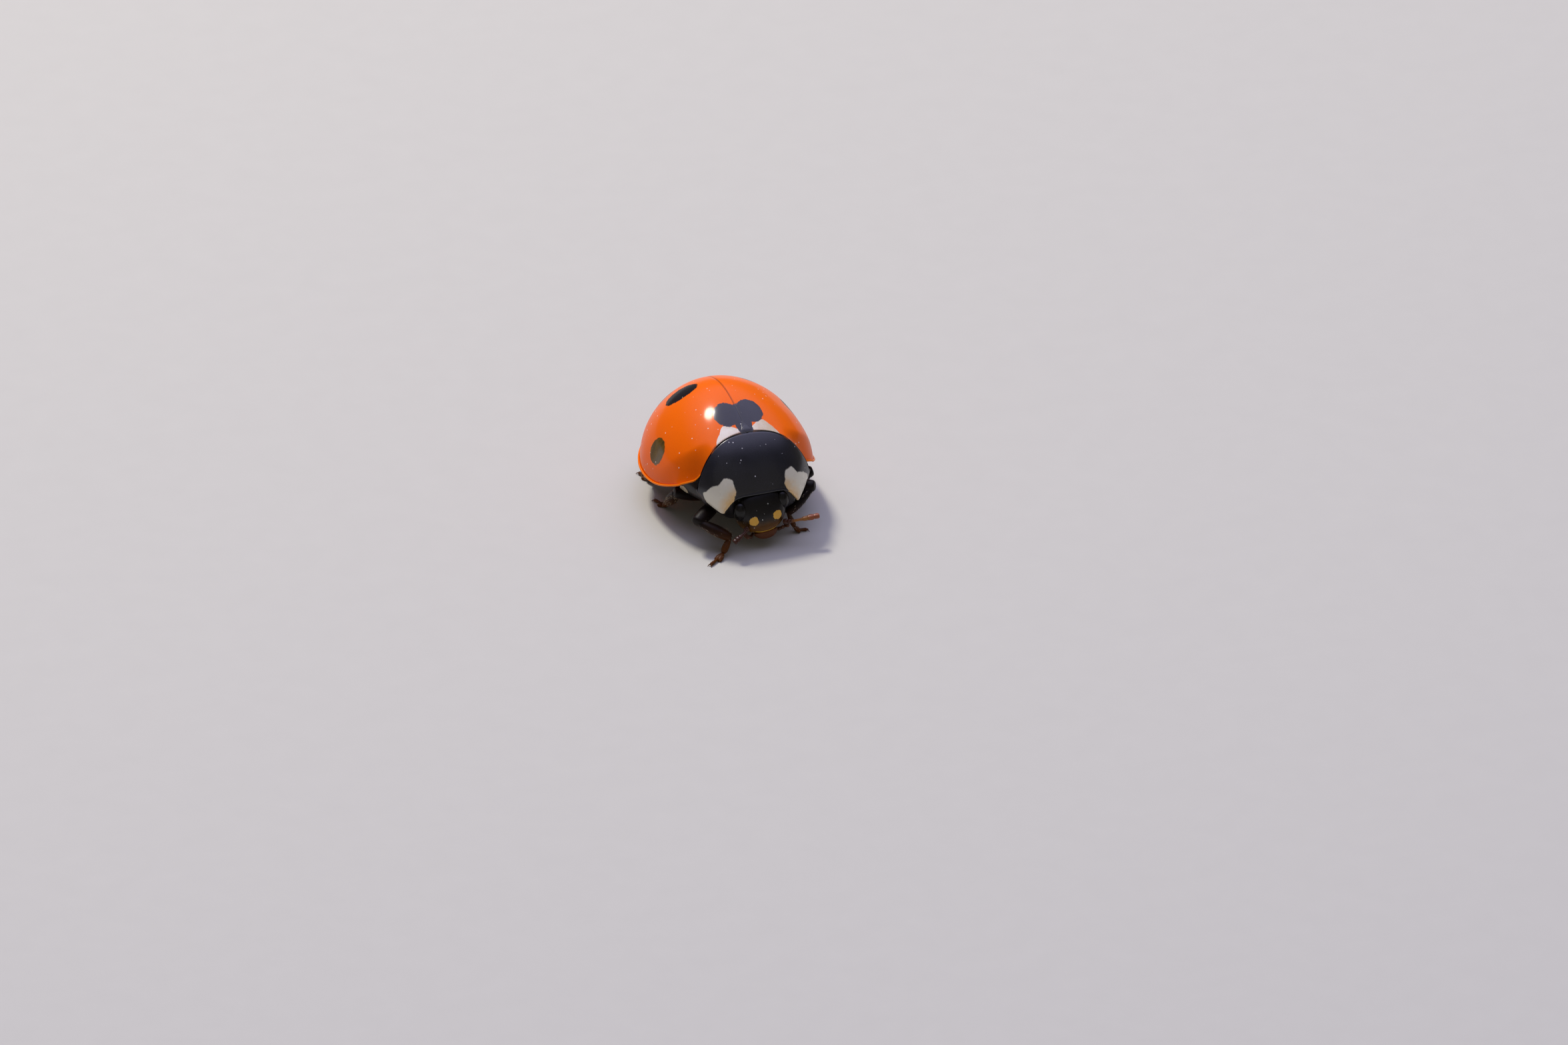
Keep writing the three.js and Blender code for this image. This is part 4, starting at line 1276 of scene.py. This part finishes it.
# ---------------------------------------------------------------- head

FACE_DOWN = Vector((0, -math.sin(HEAD_FACE_TILT), -math.cos(HEAD_FACE_TILT)))
FACE_OUT = Vector((0, -math.cos(HEAD_FACE_TILT), math.sin(HEAD_FACE_TILT)))


def head_point(across, down, out):
    """Point in the head's own axes."""
    return HEAD_CENTRE + Vector((across, 0, 0)) + FACE_DOWN * down + FACE_OUT * out


def rolled(point):
    """The point turned with the head, which leans a little to the animal's left."""
    offset = point - HEAD_CENTRE
    down = offset.dot(FACE_DOWN)
    cos = math.cos(HEAD_ROLL)
    sin = math.sin(HEAD_ROLL)
    return head_point(offset.x * cos + down * sin, down * cos - offset.x * sin, offset.dot(FACE_OUT))


def build_head(look):
    """Head capsule with eye sockets, a dished brow and a flattened front."""

    def shape(co):
        down = -co.z
        snout = 1 - SNOUT_TAPER * max(0.0, down)
        across = signed_power(co.x, HEAD_SIDE_POWER) * HEAD_SIZE.x * snout
        point = head_point(across, down * HEAD_SIZE.y, -co.y * HEAD_SIZE.z)
        offset = Vector((abs(point.x), point.y, point.z)) - EYE_CENTRE
        near = math.hypot(*(part / radius for part, radius in zip(offset, EYE_RADII)))
        brow = 0.006 * bump_at(near, 1.16, 0.12)
        dish = 0.02 * bump_at(abs(point.x), 0.33, 0.2) * bump_at(down, 0.25, 0.4)
        outwards = (point - HEAD_CENTRE).normalized()
        return rolled(point + outwards * (brow - dish))

    obj = boxy_ball("head_capsule", HEAD_BOXINESS, shape, 128, 80)
    close_up(obj)
    finish_piece(obj, head_material(look), ["head"])


def build_eyes():
    """Compound eyes: a fine ball whose every facet is raised to a point."""
    eye = add_primitive("eye", bpy.ops.mesh.primitive_ico_sphere_add, subdivisions=5, radius=1)
    with editing(eye):
        bpy.ops.mesh.poke(offset=0.012)
    smooth(eye)
    material = eye_material()
    for name, side in SIDES:
        ball = copy_of(eye, f"compound_eye_{name}")
        centre = mirrored(EYE_CENTRE, side)
        move_points(ball, lambda co, middle=centre: rolled(middle + co * EYE_RADII))
        finish_piece(ball, material, [f"eye_{name}"])
    bpy.data.objects.remove(eye)


# Plates across the lower end of the face, in the head's axes.
FACE_PLATE = {"half_width": 0.52, "start": 0.5, "end": 0.78, "out": 0.46, "thickness": 0.2}
UPPER_LIP = {"half_width": 0.42, "start": 0.74, "end": 1.03, "out": 0.41, "thickness": 0.2}
LOWER_LIP_CENTRE = Vector((0, -1.22, -0.74))
LOWER_LIP_SIZE = Vector((0.3, 0.17, 0.17))


def mouth_plate(name, half_width, start, end, out, thickness):
    """A rounded plate whose lower edge is convex and which bends back towards its sides."""

    def shape(co):
        u = co.x
        reach = math.sqrt(max(0.0, 1 - 0.8 * u * u))
        low = lerp(start, end, reach)
        down = lerp(start, low, (1 - co.z) / 2)
        front = out - 0.12 * u * u - 0.3 * (down - start) ** 1.2
        return rolled(head_point(half_width * u, down, front - thickness * (1 + co.y) / 2))

    obj = boxy_ball(name, 4.0, shape, 56, 28)
    close_up(obj)
    return obj


def build_mouth():
    """Clypeus with its yellow edge, upper lip, jaws and lower lip."""
    yellow, shade = horn(
        "face_plate_horn", (0.13, 0.05, 0.001), (0.13, 0.05, 0.001), (-0.7, -0.3),
        density=16.0, roughness=0.3, coat=0.1, shine=0.2,
    )
    low = yellow.ramp(yellow.map_place()[1], 0.31, 0.36, 1.0, 0.0)
    side = yellow.ramp(yellow.parts(yellow.folded)[0], 0.44, 0.48)
    yellow.set(Base_Color=yellow.mix(yellow.math("MAXIMUM", low, side), shade, (0.62, 0.36, 0.03)))
    brown, _ = horn(
        "mouth_horn", (0.1, 0.026, 0.002), (0.05, 0.012, 0.003), (-1.0, -0.6),
        density=16.0, roughness=0.42, coat=0.05, shine=0.2,
    )
    finish_piece(mouth_plate("face_plate", **FACE_PLATE), yellow.material, ["clypeus"])
    finish_piece(mouth_plate("upper_lip", **UPPER_LIP), brown.material, ["labrum"])
    parts = []
    for _, side in SIDES:
        jaw = curved_horn("jaw", 0.46, 0.12, 0.02, 0.9)
        place(jaw, Vector((0.34 * side, -1.3, -0.62)), Vector((-0.5 * side, -0.35, -0.5)), side * 0.6)
        parts.append(jaw)
    lip = boxy_ball("lower_lip", 2.6, lambda co: LOWER_LIP_CENTRE + co * LOWER_LIP_SIZE, 32, 20)
    jaws = join("jaws", [lip, *parts])
    move_points(jaws, rolled)
    finish_piece(jaws, brown.material, ["mouthparts"])


PALP_POINTS = (
    (0.36, -1.3, -0.74), (0.46, -1.42, -0.8), (0.58, -1.55, -0.72), (0.66, -1.64, -0.62),
    (0.8, -1.76, -0.46),
)
PALP_RADII = (0.05, 0.075, 0.07)
HATCHET_PROFILE = ((0.0, 0.035), (0.1, 0.06), (0.45, 0.12), (0.85, 0.19), (1.0, 0.16))


def build_palps():
    """Four-jointed palps that end in a broad hatchet."""
    surface, _ = horn(
        "palp_horn", (0.09, 0.03, 0.01), (0.04, 0.014, 0.006), (-1.0, -0.6), density=16.0, roughness=0.3,
    )
    for name, side in SIDES:
        points = [rolled(mirrored(Vector(p), side)) for p in PALP_POINTS]
        parts = [
            joint_piece("palp_joint", start, end, sized(ROUND_JOINT, radius))
            for start, end, radius in zip(points, points[1:], PALP_RADII)
        ]
        parts.append(joint_piece("palp_hatchet", *points[3:], HATCHET_PROFILE, 0.45, 0.6 * side))
        finish_piece(join(f"mouth_palp_{name}", parts), surface.material, [f"palp_{name}"])


# Root, elbow, middle and tip of each feeler.
FEELERS = {
    "left": ((0.68, -1.7, -0.32), (0.94, -1.86, -0.26), (1.32, -1.95, -0.2), (1.88, -2.0, -0.15)),
    "right": ((-0.66, -1.76, -0.3), (-0.78, -1.95, -0.3), (-0.98, -2.06, -0.38), (-1.26, -2.12, -0.54)),
}
# Start, end and radius of each joint, as shares of a feeler's length and in millimetres.
FEELER_JOINTS = (
    (0.0, 0.18, 0.11), (0.16, 0.29, 0.085), (0.27, 0.37, 0.06), (0.35, 0.44, 0.054), (0.42, 0.5, 0.05),
    (0.48, 0.56, 0.05), (0.54, 0.61, 0.052), (0.59, 0.66, 0.06), (0.64, 0.77, 0.1), (0.75, 0.89, 0.122),
    (0.87, 1.0, 0.115),
)
CLUB_START = 0.6
CLUB_PROFILE = ((0.0, 0.72), (0.1, 0.88), (0.5, 1.0), (0.85, 1.0), (1.0, 0.8))


def path_point(points, t):
    """Point at share t along a smooth path through four points."""
    a, b, c, d = points
    s = t * 3
    i = min(int(s), 2)
    chain = [a * 2 - b, a, b, c, d, d * 2 - c]
    p0, p1, p2, p3 = chain[i:i + 4]
    f = s - i
    return 0.5 * (
        p1 * 2 + (p2 - p0) * f + (p0 * 2 - p1 * 5 + p2 * 4 - p3) * f ** 2
        + (p1 * 3 - p0 - p2 * 3 + p3) * f ** 3
    )


def build_feelers():
    """Eleven-jointed antennae, each ending in a club of three joints."""
    surface = Surface("feeler_horn")
    x = surface.parts(surface.place)[0]
    tone = surface.grain(8.0, 3.0)
    # Dark near the head and along the whole right feeler, brown further out on the left one: the right
    # feeler's darkness is painted shade.
    shade = surface.mix(surface.ramp(x, 0.86, 1.08), (0.06, 0.014, 0.004), (0.36, 0.14, 0.02))
    shade = surface.mix(surface.ramp(x, 1.4, 1.56), shade, (0.32, 0.09, 0.03))
    surface.set(
        Base_Color=surface.tint(shade, tone, 0.4, (0.02, 0.008, 0.004)),
        Roughness=surface.times(tone, 0.25, 0.22),
        Coat_Weight=0.15, Coat_Roughness=0.2, IOR=1.45, Specular_IOR_Level=0.35,
    )
    surface.relief(surface.grain(40.0), 0.004, 0.6)
    for name, _ in SIDES:
        points = [Vector(p) for p in FEELERS[name]]
        joints = []
        for start, end, radius in FEELER_JOINTS:
            first = path_point(points, start)
            last = path_point(points, end)
            flat = 0.85 if start > CLUB_START else 1.0
            joints.append(joint_piece("feeler_joint", first, last, sized(CLUB_PROFILE, radius), flat))
        finish_piece(join(f"feeler_{name}", joints), surface.material, [f"antenna_{name}"])


# ---------------------------------------------------------------- legs

# Hip, knee, ankle and toe of each leg, as in the solids.
LEGS = {
    "fore_right": ((-1.0, -0.1, 0.05), (-2.17, -1.0, -0.13), (-1.22, -1.62, -0.6), (-2.05, -2.2)),
    "fore_left": ((1.0, -0.1, 0.05), (2.1, -0.72, 0.28), (1.08, -1.05, -0.38), (1.62, -1.12)),
    "mid_right": ((-0.9, 0.8, -0.36), (-2.25, 0.88, 0.02), (-2.2, 1.75, -0.85), (-2.42, 2.42)),
    "mid_left": ((0.9, 0.8, -0.36), (2.5, 0.6, 0.06), (2.38, 1.55, -0.88), (2.56, 2.25)),
    "hind_right": ((-0.95, 2.35, -0.4), (-2.28, 2.5, -0.15), (-2.12, 3.66, -0.88), (-2.3, 4.36)),
    "hind_left": ((0.95, 2.35, -0.4), (2.3, 2.56, -0.15), (2.2, 3.7, -0.88), (2.42, 4.4)),
}
THIGH_PROFILE = (
    (0.0, 0.09), (0.04, 0.15), (0.2, 0.24), (0.45, 0.285),
    (0.7, 0.28), (0.88, 0.25), (0.97, 0.21), (1.0, 0.13),
)
SHIN_PROFILE = (
    (0.0, 0.1), (0.05, 0.15), (0.14, 0.165), (0.35, 0.225),
    (0.6, 0.25), (0.84, 0.215), (0.96, 0.17), (1.0, 0.1),
)
FOOT_PROFILE = ((0.0, 0.06), (0.08, 0.09), (0.4, 0.13), (0.75, 0.15), (1.0, 0.1))
LOBE_PROFILE = ((0.0, 0.05), (0.2, 0.085), (0.6, 0.11), (0.9, 0.09), (1.0, 0.05))
CLAW_JOINT_PROFILE = ((0.0, 0.035), (0.2, 0.042), (0.7, 0.06), (0.95, 0.068), (1.0, 0.04))
TOE_HEIGHT = 0.1
TIP_HEIGHT = 0.085
FORK_HEIGHT = 0.06
BRISTLE_FORK_HEIGHT = 0.12
HEEL_SHARE = 0.42
HEEL_DROP = 0.72
FORK_SHARE = 0.74
SOLE_SINK = 0.03
SOLE_REACH = 0.3
UP = Vector((0, 0, 1))


def leg_points(name):
    """Hip, knee, ankle and toe as vectors, the toe a little above the floor."""
    hip, knee, ankle, toe = LEGS[name]
    return Vector(hip), Vector(knee), Vector(ankle), Vector((*toe, -FLOOR_DROP + TOE_HEIGHT))


def heel_and_fork(ankle, toe, fork_height):
    """Where a foot's first joint ends, and where its two lobes do."""
    heel = ankle.lerp(toe, HEEL_SHARE)
    heel.z = lerp(ankle.z, -FLOOR_DROP, HEEL_DROP)
    fork = ankle.lerp(toe, FORK_SHARE)
    fork.z = -FLOOR_DROP + fork_height
    return heel, fork


def build_thigh(name, hip, knee):
    """Hip joint, ring joint and thigh."""
    along = (knee - hip).normalized()
    inner = hip + Vector((-0.35 * math.copysign(1, hip.x), 0, 0.04))
    return join(f"{name}_thigh", [
        joint_piece("coxa", inner, hip + along * 0.2 - UP * 0.08, sized(ROUND_JOINT, 0.2), 0.85),
        joint_piece("ring_joint", hip + along * 0.08, hip + along * 0.36, sized(ROUND_JOINT, 0.15)),
        joint_piece("femur", hip + along * 0.22, knee + along * 0.1, THIGH_PROFILE, 0.86, sides=14),
    ])


def build_shin(name, knee, ankle, spur):
    """Shin with two short spurs at its end."""
    along = (ankle - knee).normalized()
    parts = [joint_piece("tibia", knee + along * 0.03, ankle + along * 0.05, SHIN_PROFILE, 0.8, sides=12)]
    sideways = along.cross(UP).normalized()
    for turn in (-1, 1):
        thorn = copy_of(spur, "spur")
        aim = along + sideways * 0.35 * turn - UP * 0.3
        place(thorn, ankle + sideways * 0.06 * turn - along * 0.02, aim)
        parts.append(thorn)
    return join(f"{name}_shin", parts)


def build_foot(name, ankle, toe, claw):
    """First joint, two-lobed joint, thin claw joint and two claws, settled on the floor."""
    forwards = Vector((toe.x - ankle.x, toe.y - ankle.y, 0)).normalized()
    sideways = Vector((-forwards.y, forwards.x, 0))
    heel, fork = heel_and_fork(ankle, toe, FORK_HEIGHT)
    tip = toe + forwards * 0.12
    tip.z = -FLOOR_DROP + TIP_HEIGHT
    parts = [joint_piece("tarsus_one", ankle, heel, FOOT_PROFILE, 0.75)]
    for turn in (-1, 1):
        end = fork + sideways * 0.075 * turn + forwards * 0.02
        parts.append(joint_piece("tarsus_lobe", heel - forwards * 0.03, end, LOBE_PROFILE, 0.7))
    root = fork - forwards * 0.14 + UP * 0.05
    parts.append(joint_piece("claw_joint", root, tip, CLAW_JOINT_PROFILE, 0.9))
    for turn in (-1, 1):
        hook = copy_of(claw, "claw")
        aim = forwards + sideways * 0.55 * turn + UP * 0.12
        bends_up = (aim.to_track_quat("Z", "Y") @ Vector((0, 1, 0))).z > 0
        place(hook, tip - forwards * 0.03 + sideways * 0.015 * turn, aim, math.pi if bends_up else 0.0)
        parts.append(hook)

    def settled(co):
        above = co.z + FLOOR_DROP
        above -= SOLE_SINK * (1 - smooth_step(above / SOLE_REACH))
        return Vector((co.x, co.y, max(0.0, above) - FLOOR_DROP))

    foot = join(f"{name}_foot", parts)
    move_points(foot, settled)
    return foot


def build_legs():
    """Six legs, each a thigh, a shin and a foot."""
    surface, _ = horn(
        "leg_cuticle", (0.006, 0.003, 0.002), (0.1, 0.03, 0.003), (-1.0, 0.1),
        density=18.0, roughness=0.42, coat=0.0, shine=0.14,
    )
    spur = curved_horn("spur", 0.13, 0.022, 0.003, 0.4, 6)
    claw = curved_horn("claw", 0.16, 0.028, 0.003, 1.1, 8)
    for name in LEGS:
        hip, knee, ankle, toe = leg_points(name)
        finish_piece(build_thigh(name, hip, knee), surface.material, [f"{name}_femur"])
        finish_piece(build_shin(name, knee, ankle, spur), surface.material, [f"{name}_tibia"])
        finish_piece(build_foot(name, ankle, toe, claw), surface.material, [f"{name}_tarsus"])
    bpy.data.objects.remove(spur)
    bpy.data.objects.remove(claw)


# ---------------------------------------------------------------- bristles and down

# A unit hair: its length, radius, tip radius, bend and sides.
HAIR = (1.0, 0.05, 0.008, 0.6, 4)
LOW_SHARE = 0.7
FLOOR_CLEARANCE = 0.03


def scatter(name, template, roots, material):
    """One mesh of many copies of a hair; each root is (place, direction, length, map place)."""
    points = [v.co.copy() for v in template.data.vertices]
    faces = [tuple(p.vertices) for p in template.data.polygons]
    vertices = []
    polygons = []
    map_places = []
    for root, aim, length, at in roots:
        base = len(vertices)
        turn = aim.to_track_quat("Z", "Y")
        vertices.extend(root + turn @ (point * length) for point in points)
        polygons.extend(tuple(base + i for i in face) for face in faces)
        for face in faces:
            for i in face:
                map_places.append((at[0] + 0.003 * points[i].z, at[1] + 0.003 * (points[i].x + 0.5)))
    mesh = bpy.data.meshes.new(name)
    mesh.from_pydata(vertices, [], polygons)
    layer = mesh.uv_layers.new(name="OFBake")
    for loop, value in zip(layer.data, map_places):
        loop.uv = value
    obj = bpy.data.objects.new(name, mesh)
    bpy.context.scene.collection.objects.link(obj)
    smooth(obj)
    finish_piece(obj, material)


def limb_roots(rng, start, end, radius, count, length, spot, lean=0.75):
    """Roots over a limb, most of them on its lower side and leaning towards its end."""
    along = (end - start).normalized()
    sideways = along.cross(UP).normalized()
    up = sideways.cross(along)
    roots = []
    for _ in range(count):
        t = rng.random() ** 0.7
        low = rng.random() < LOW_SHARE
        turn = rng.uniform(math.pi if low else 0, 2 * math.pi)
        out = sideways * math.cos(turn) + up * math.sin(turn) * 0.8
        root = start.lerp(end, t) + out * radius(t) * 0.9
        aim = along * lean + out * rng.uniform(0.35, 0.8)
        roots.append((root, aim, length * rng.uniform(0.7, 1.25), (spot + 0.1 * t, turn / 7.0)))
    return roots


def profile_radius(profile):
    """A function that gives the radius along a profile."""

    def radius(t):
        for (t0, r0), (t1, r1) in zip(profile, profile[1:]):
            if t <= t1:
                return lerp(r0, r1, (t - t0) / (t1 - t0))
        return profile[-1][1]

    return radius


def build_bristles(coat):
    """Bristles of the shins and feet, and short ones on the thighs."""
    material = hair_material("leg_bristles", (0.2, 0.14, 0.08), (0.62, 0.5, 0.34))
    template = curved_horn("hair", *HAIR)
    rng = random.Random(7)
    length = coat.bristle_length / MM
    for i, name in enumerate(LEGS):
        hip, knee, ankle, toe = leg_points(name)
        heel, fork = heel_and_fork(ankle, toe, BRISTLE_FORK_HEIGHT)
        spot = 0.15 * i
        shin = profile_radius(SHIN_PROFILE)
        roots = limb_roots(rng, knee, ankle, shin, coat.bristles_per_shin, length, spot)
        roots += limb_roots(rng, ankle, heel, lambda t: 0.07 + 0.04 * t, 40, length * 0.8, spot + 0.03)
        roots += limb_roots(rng, heel, fork, lambda t: 0.1 + 0.03 * t, 46, length * 0.7, spot + 0.06)
        thigh = hip.lerp(knee, 0.3)
        roots += limb_roots(rng, thigh, knee, lambda t: 0.2 - 0.03 * t, 40, length * 0.55, spot + 0.09, 1.2)
        kept = [
            (root, aim, reach, at) for root, aim, reach, at in roots
            if min(root.z, (root + aim.normalized() * reach).z) > -FLOOR_DROP + FLOOR_CLEARANCE
        ]
        scatter(f"{name}_bristles", template, kept, material)
    bpy.data.objects.remove(template)


def build_down(coat):
    """Short pale down lying backwards on the belly and the chest."""
    material = hair_material("body_down", (0.16, 0.13, 0.1), (0.42, 0.38, 0.3))
    template = curved_horn("hair", *HAIR)
    rng = random.Random(11)
    length = coat.down_length / MM
    roots = []
    while len(roots) < coat.down_count:
        angle = rng.uniform(-1.2, math.radians(76))
        ring = trunk_ring(angle, 8)
        below = ring[len(ring) // 2:]
        i = rng.randrange(1, len(below) - 2)
        root = below[i].lerp(below[i + 1], rng.random())
        if root.z > 0.1:
            continue
        root = belly_relief(root) if root.y > 2.8 else chest_relief(root)
        out = Vector((root.x * 0.35, 0, -1)).normalized()
        aim = Vector((root.x * 0.08, 1.0, 0)) + out * rng.uniform(0.15, 0.4)
        roots.append((root, aim, length * rng.uniform(0.6, 1.2), (0.5 + root.x / 8, 0.1 + root.y / 8)))
    scatter("belly_down", template, roots, material)
    bpy.data.objects.remove(template)


# ---------------------------------------------------------------- stage

KEY_AIM = Vector((-0.13, 0.55, 0.83))
SKY_AIM = Vector((0.15, 0.38, 0.92))
FILL_AIM = Vector((-0.2, -1, 0.5))
LIGHTS_CENTRE = Vector((0, 0, 1.8))
CAMERA_LENS = 500
SENSOR_WIDTH = 36
# How far right and up from the body frame's origin the picture's middle lies.
FRAME_SHIFT = (1.245, -0.99)


def add_light(name, aim, distance, size, power, tint):
    """A round soft light that points at the animal and isn't seen itself."""
    aim = aim.normalized()
    deselect_all()
    bpy.ops.object.light_add(type="AREA", location=LIGHTS_CENTRE * MM + aim * distance)
    lamp = bpy.context.active_object
    lamp.name = name
    lamp.data.shape = "DISK"
    lamp.data.size = size
    lamp.data.energy = power
    lamp.data.color = tint
    lamp.rotation_mode = "QUATERNION"
    lamp.rotation_quaternion = aim.to_track_quat("Z", "Y")
    lamp.visible_camera = False


def build_world():
    """Dim soft light all round with a wide bluish glow overhead; the camera sees a pale wall."""
    world = bpy.data.worlds.new("studio")
    world.use_nodes = True
    world.node_tree.nodes.clear()
    recipe = Recipe(world.node_tree)
    coords = recipe.node("TexCoord").outputs["Generated"]
    sky = recipe.mix(recipe.ramp(recipe.parts(coords)[2], 0.0, 1.0), (0.14, 0.125, 0.1), (0.09, 0.09, 0.11))
    towards = recipe.vector("DOT_PRODUCT", coords, SKY_AIM.normalized())
    sky = recipe.mix(recipe.ramp(towards, 0.6, 0.98), sky, (1.2, 1.18, 1.8))
    seen = recipe.node("LightPath").outputs["Is Camera Ray"]
    background = recipe.node("Background", {"Color": recipe.mix(seen, sky, (0.6, 0.6, 0.6))})
    recipe.node("OutputWorld", {"Surface": background.outputs[0]})
    bpy.context.scene.world = world


def build_stage(stage):
    """Pale floor, soft lights and the camera."""
    floor = add_primitive("floor", bpy.ops.mesh.primitive_plane_add, size=4.0, location=(0, 0, 0))
    surface = Surface("floor_paper")
    coords = surface.node("TexCoord").outputs["Object"]
    paler = tuple(min(1.0, part * 1.04) for part in stage.floor_colour)
    shade = surface.mix(surface.noise(coords, 900.0, 3.0), stage.floor_colour, paler)
    surface.set(Base_Color=shade, Roughness=0.9, Specular_IOR_Level=0.1)
    floor.data.materials.append(surface.material)

    build_world()
    power = stage.key_power
    add_light("key_light", KEY_AIM, distance=0.3, size=0.056, power=0.62 * power, tint=(1.0, 0.95, 0.84))
    add_light("fill_light", FILL_AIM, distance=0.4, size=0.6, power=0.1 * power, tint=(1.0, 0.94, 0.85))

    turn = stage.azimuth
    rise = stage.elevation
    back = Vector((math.sin(turn) * math.cos(rise), -math.cos(turn) * math.cos(rise), math.sin(rise)))
    right = Vector((math.cos(turn), math.sin(turn), 0))
    up = back.cross(right)
    centre = (ORIGIN + right * FRAME_SHIFT[0] + up * FRAME_SHIFT[1]) * MM
    data = bpy.data.cameras.new("camera")
    data.lens = CAMERA_LENS
    data.sensor_width = SENSOR_WIDTH
    data.clip_start = 0.01
    data.clip_end = 20.0
    camera = bpy.data.objects.new("camera", data)
    bpy.context.scene.collection.objects.link(camera)
    camera.location = centre + back * stage.frame_width * CAMERA_LENS / SENSOR_WIDTH
    camera.rotation_mode = "QUATERNION"
    camera.rotation_quaternion = back.to_track_quat("Z", "Y")
    bpy.context.scene.camera = camera
    bpy.context.scene.view_settings.view_transform = "Standard"


# ---------------------------------------------------------------- operators

class LadybirdOperator:
    """What the ladybird's operators share."""

    bl_options = {"REGISTER", "UNDO"}


class LADYBIRD_OT_stage(LadybirdOperator, bpy.types.Operator):
    """Set up the floor, the lights and the camera"""

    bl_idname = "ladybird.stage"
    bl_label = "Stage"

    def execute(self, context):
        build_stage(context.scene.ladybird_stage)
        return {"FINISHED"}


class LADYBIRD_OT_wing_cases(LadybirdOperator, bpy.types.Operator):
    """Build both wing cases"""

    bl_idname = "ladybird.wing_cases"
    bl_label = "Wing cases"

    def execute(self, context):
        build_wing_cases(context.scene.ladybird_look)
        return {"FINISHED"}


class LADYBIRD_OT_little_shield(LadybirdOperator, bpy.types.Operator):
    """Build the little shield between the wing cases"""

    bl_idname = "ladybird.little_shield"
    bl_label = "Little shield"

    def execute(self, context):
        build_little_shield()
        return {"FINISHED"}


class LADYBIRD_OT_neck_shield(LadybirdOperator, bpy.types.Operator):
    """Build the neck shield"""

    bl_idname = "ladybird.neck_shield"
    bl_label = "Neck shield"

    def execute(self, context):
        build_neck_shield(context.scene.ladybird_look)
        return {"FINISHED"}


class LADYBIRD_OT_trunk(LadybirdOperator, bpy.types.Operator):
    """Build the fore body, the chest and the belly"""

    bl_idname = "ladybird.trunk"
    bl_label = "Trunk"

    def execute(self, context):
        build_trunk()
        return {"FINISHED"}


class LADYBIRD_OT_head(LadybirdOperator, bpy.types.Operator):
    """Build the head capsule"""

    bl_idname = "ladybird.head"
    bl_label = "Head"

    def execute(self, context):
        build_head(context.scene.ladybird_look)
        return {"FINISHED"}


class LADYBIRD_OT_eyes(LadybirdOperator, bpy.types.Operator):
    """Build the compound eyes"""

    bl_idname = "ladybird.eyes"
    bl_label = "Eyes"

    def execute(self, context):
        build_eyes()
        return {"FINISHED"}


class LADYBIRD_OT_mouth(LadybirdOperator, bpy.types.Operator):
    """Build the face plate, the lips, the jaws and the palps"""

    bl_idname = "ladybird.mouth"
    bl_label = "Mouth"

    def execute(self, context):
        build_mouth()
        build_palps()
        return {"FINISHED"}


class LADYBIRD_OT_feelers(LadybirdOperator, bpy.types.Operator):
    """Build the feelers"""

    bl_idname = "ladybird.feelers"
    bl_label = "Feelers"

    def execute(self, context):
        build_feelers()
        return {"FINISHED"}


class LADYBIRD_OT_legs(LadybirdOperator, bpy.types.Operator):
    """Build the six legs"""

    bl_idname = "ladybird.legs"
    bl_label = "Legs"

    def execute(self, context):
        build_legs()
        return {"FINISHED"}


class LADYBIRD_OT_coat(LadybirdOperator, bpy.types.Operator):
    """Grow the bristles and the down"""

    bl_idname = "ladybird.coat"
    bl_label = "Bristles and down"

    def execute(self, context):
        build_bristles(context.scene.ladybird_coat)
        build_down(context.scene.ladybird_coat)
        return {"FINISHED"}


STEPS = (
    LADYBIRD_OT_stage, LADYBIRD_OT_wing_cases, LADYBIRD_OT_little_shield, LADYBIRD_OT_neck_shield,
    LADYBIRD_OT_trunk, LADYBIRD_OT_head, LADYBIRD_OT_eyes, LADYBIRD_OT_mouth, LADYBIRD_OT_feelers,
    LADYBIRD_OT_legs, LADYBIRD_OT_coat,
)
SETTINGS = {
    "ladybird_look": LadybirdLook,
    "ladybird_coat": LadybirdCoat,
    "ladybird_stage": LadybirdStage,
}


class LADYBIRD_PT_panel(bpy.types.Panel):
    """Lists the ladybird's settings and steps"""

    bl_idname = "LADYBIRD_PT_panel"
    bl_label = "Ladybird"
    bl_space_type = "VIEW_3D"
    bl_region_type = "UI"
    bl_category = "Ladybird"

    def draw(self, context):
        layout = self.layout
        for name, group in SETTINGS.items():
            box = layout.box()
            for key in group.__annotations__:
                box.prop(getattr(context.scene, name), key)
        for step in STEPS:
            layout.operator(step.bl_idname)


CLASSES = (*SETTINGS.values(), *STEPS, LADYBIRD_PT_panel)


def register():
    """Register the classes and their settings."""
    for cls in CLASSES:
        bpy.utils.register_class(cls)
    for name, group in SETTINGS.items():
        setattr(bpy.types.Scene, name, PointerProperty(type=group))


def unregister():
    """Remove the settings and the classes."""
    for name in SETTINGS:
        delattr(bpy.types.Scene, name)
    for cls in reversed(CLASSES):
        bpy.utils.unregister_class(cls)


def main():
    """Build the ladybird and its stage."""
    register()
    for step in STEPS:
        group, name = step.bl_idname.split(".")
        getattr(getattr(bpy.ops, group), name)()


if __name__ == "__main__":
    main()
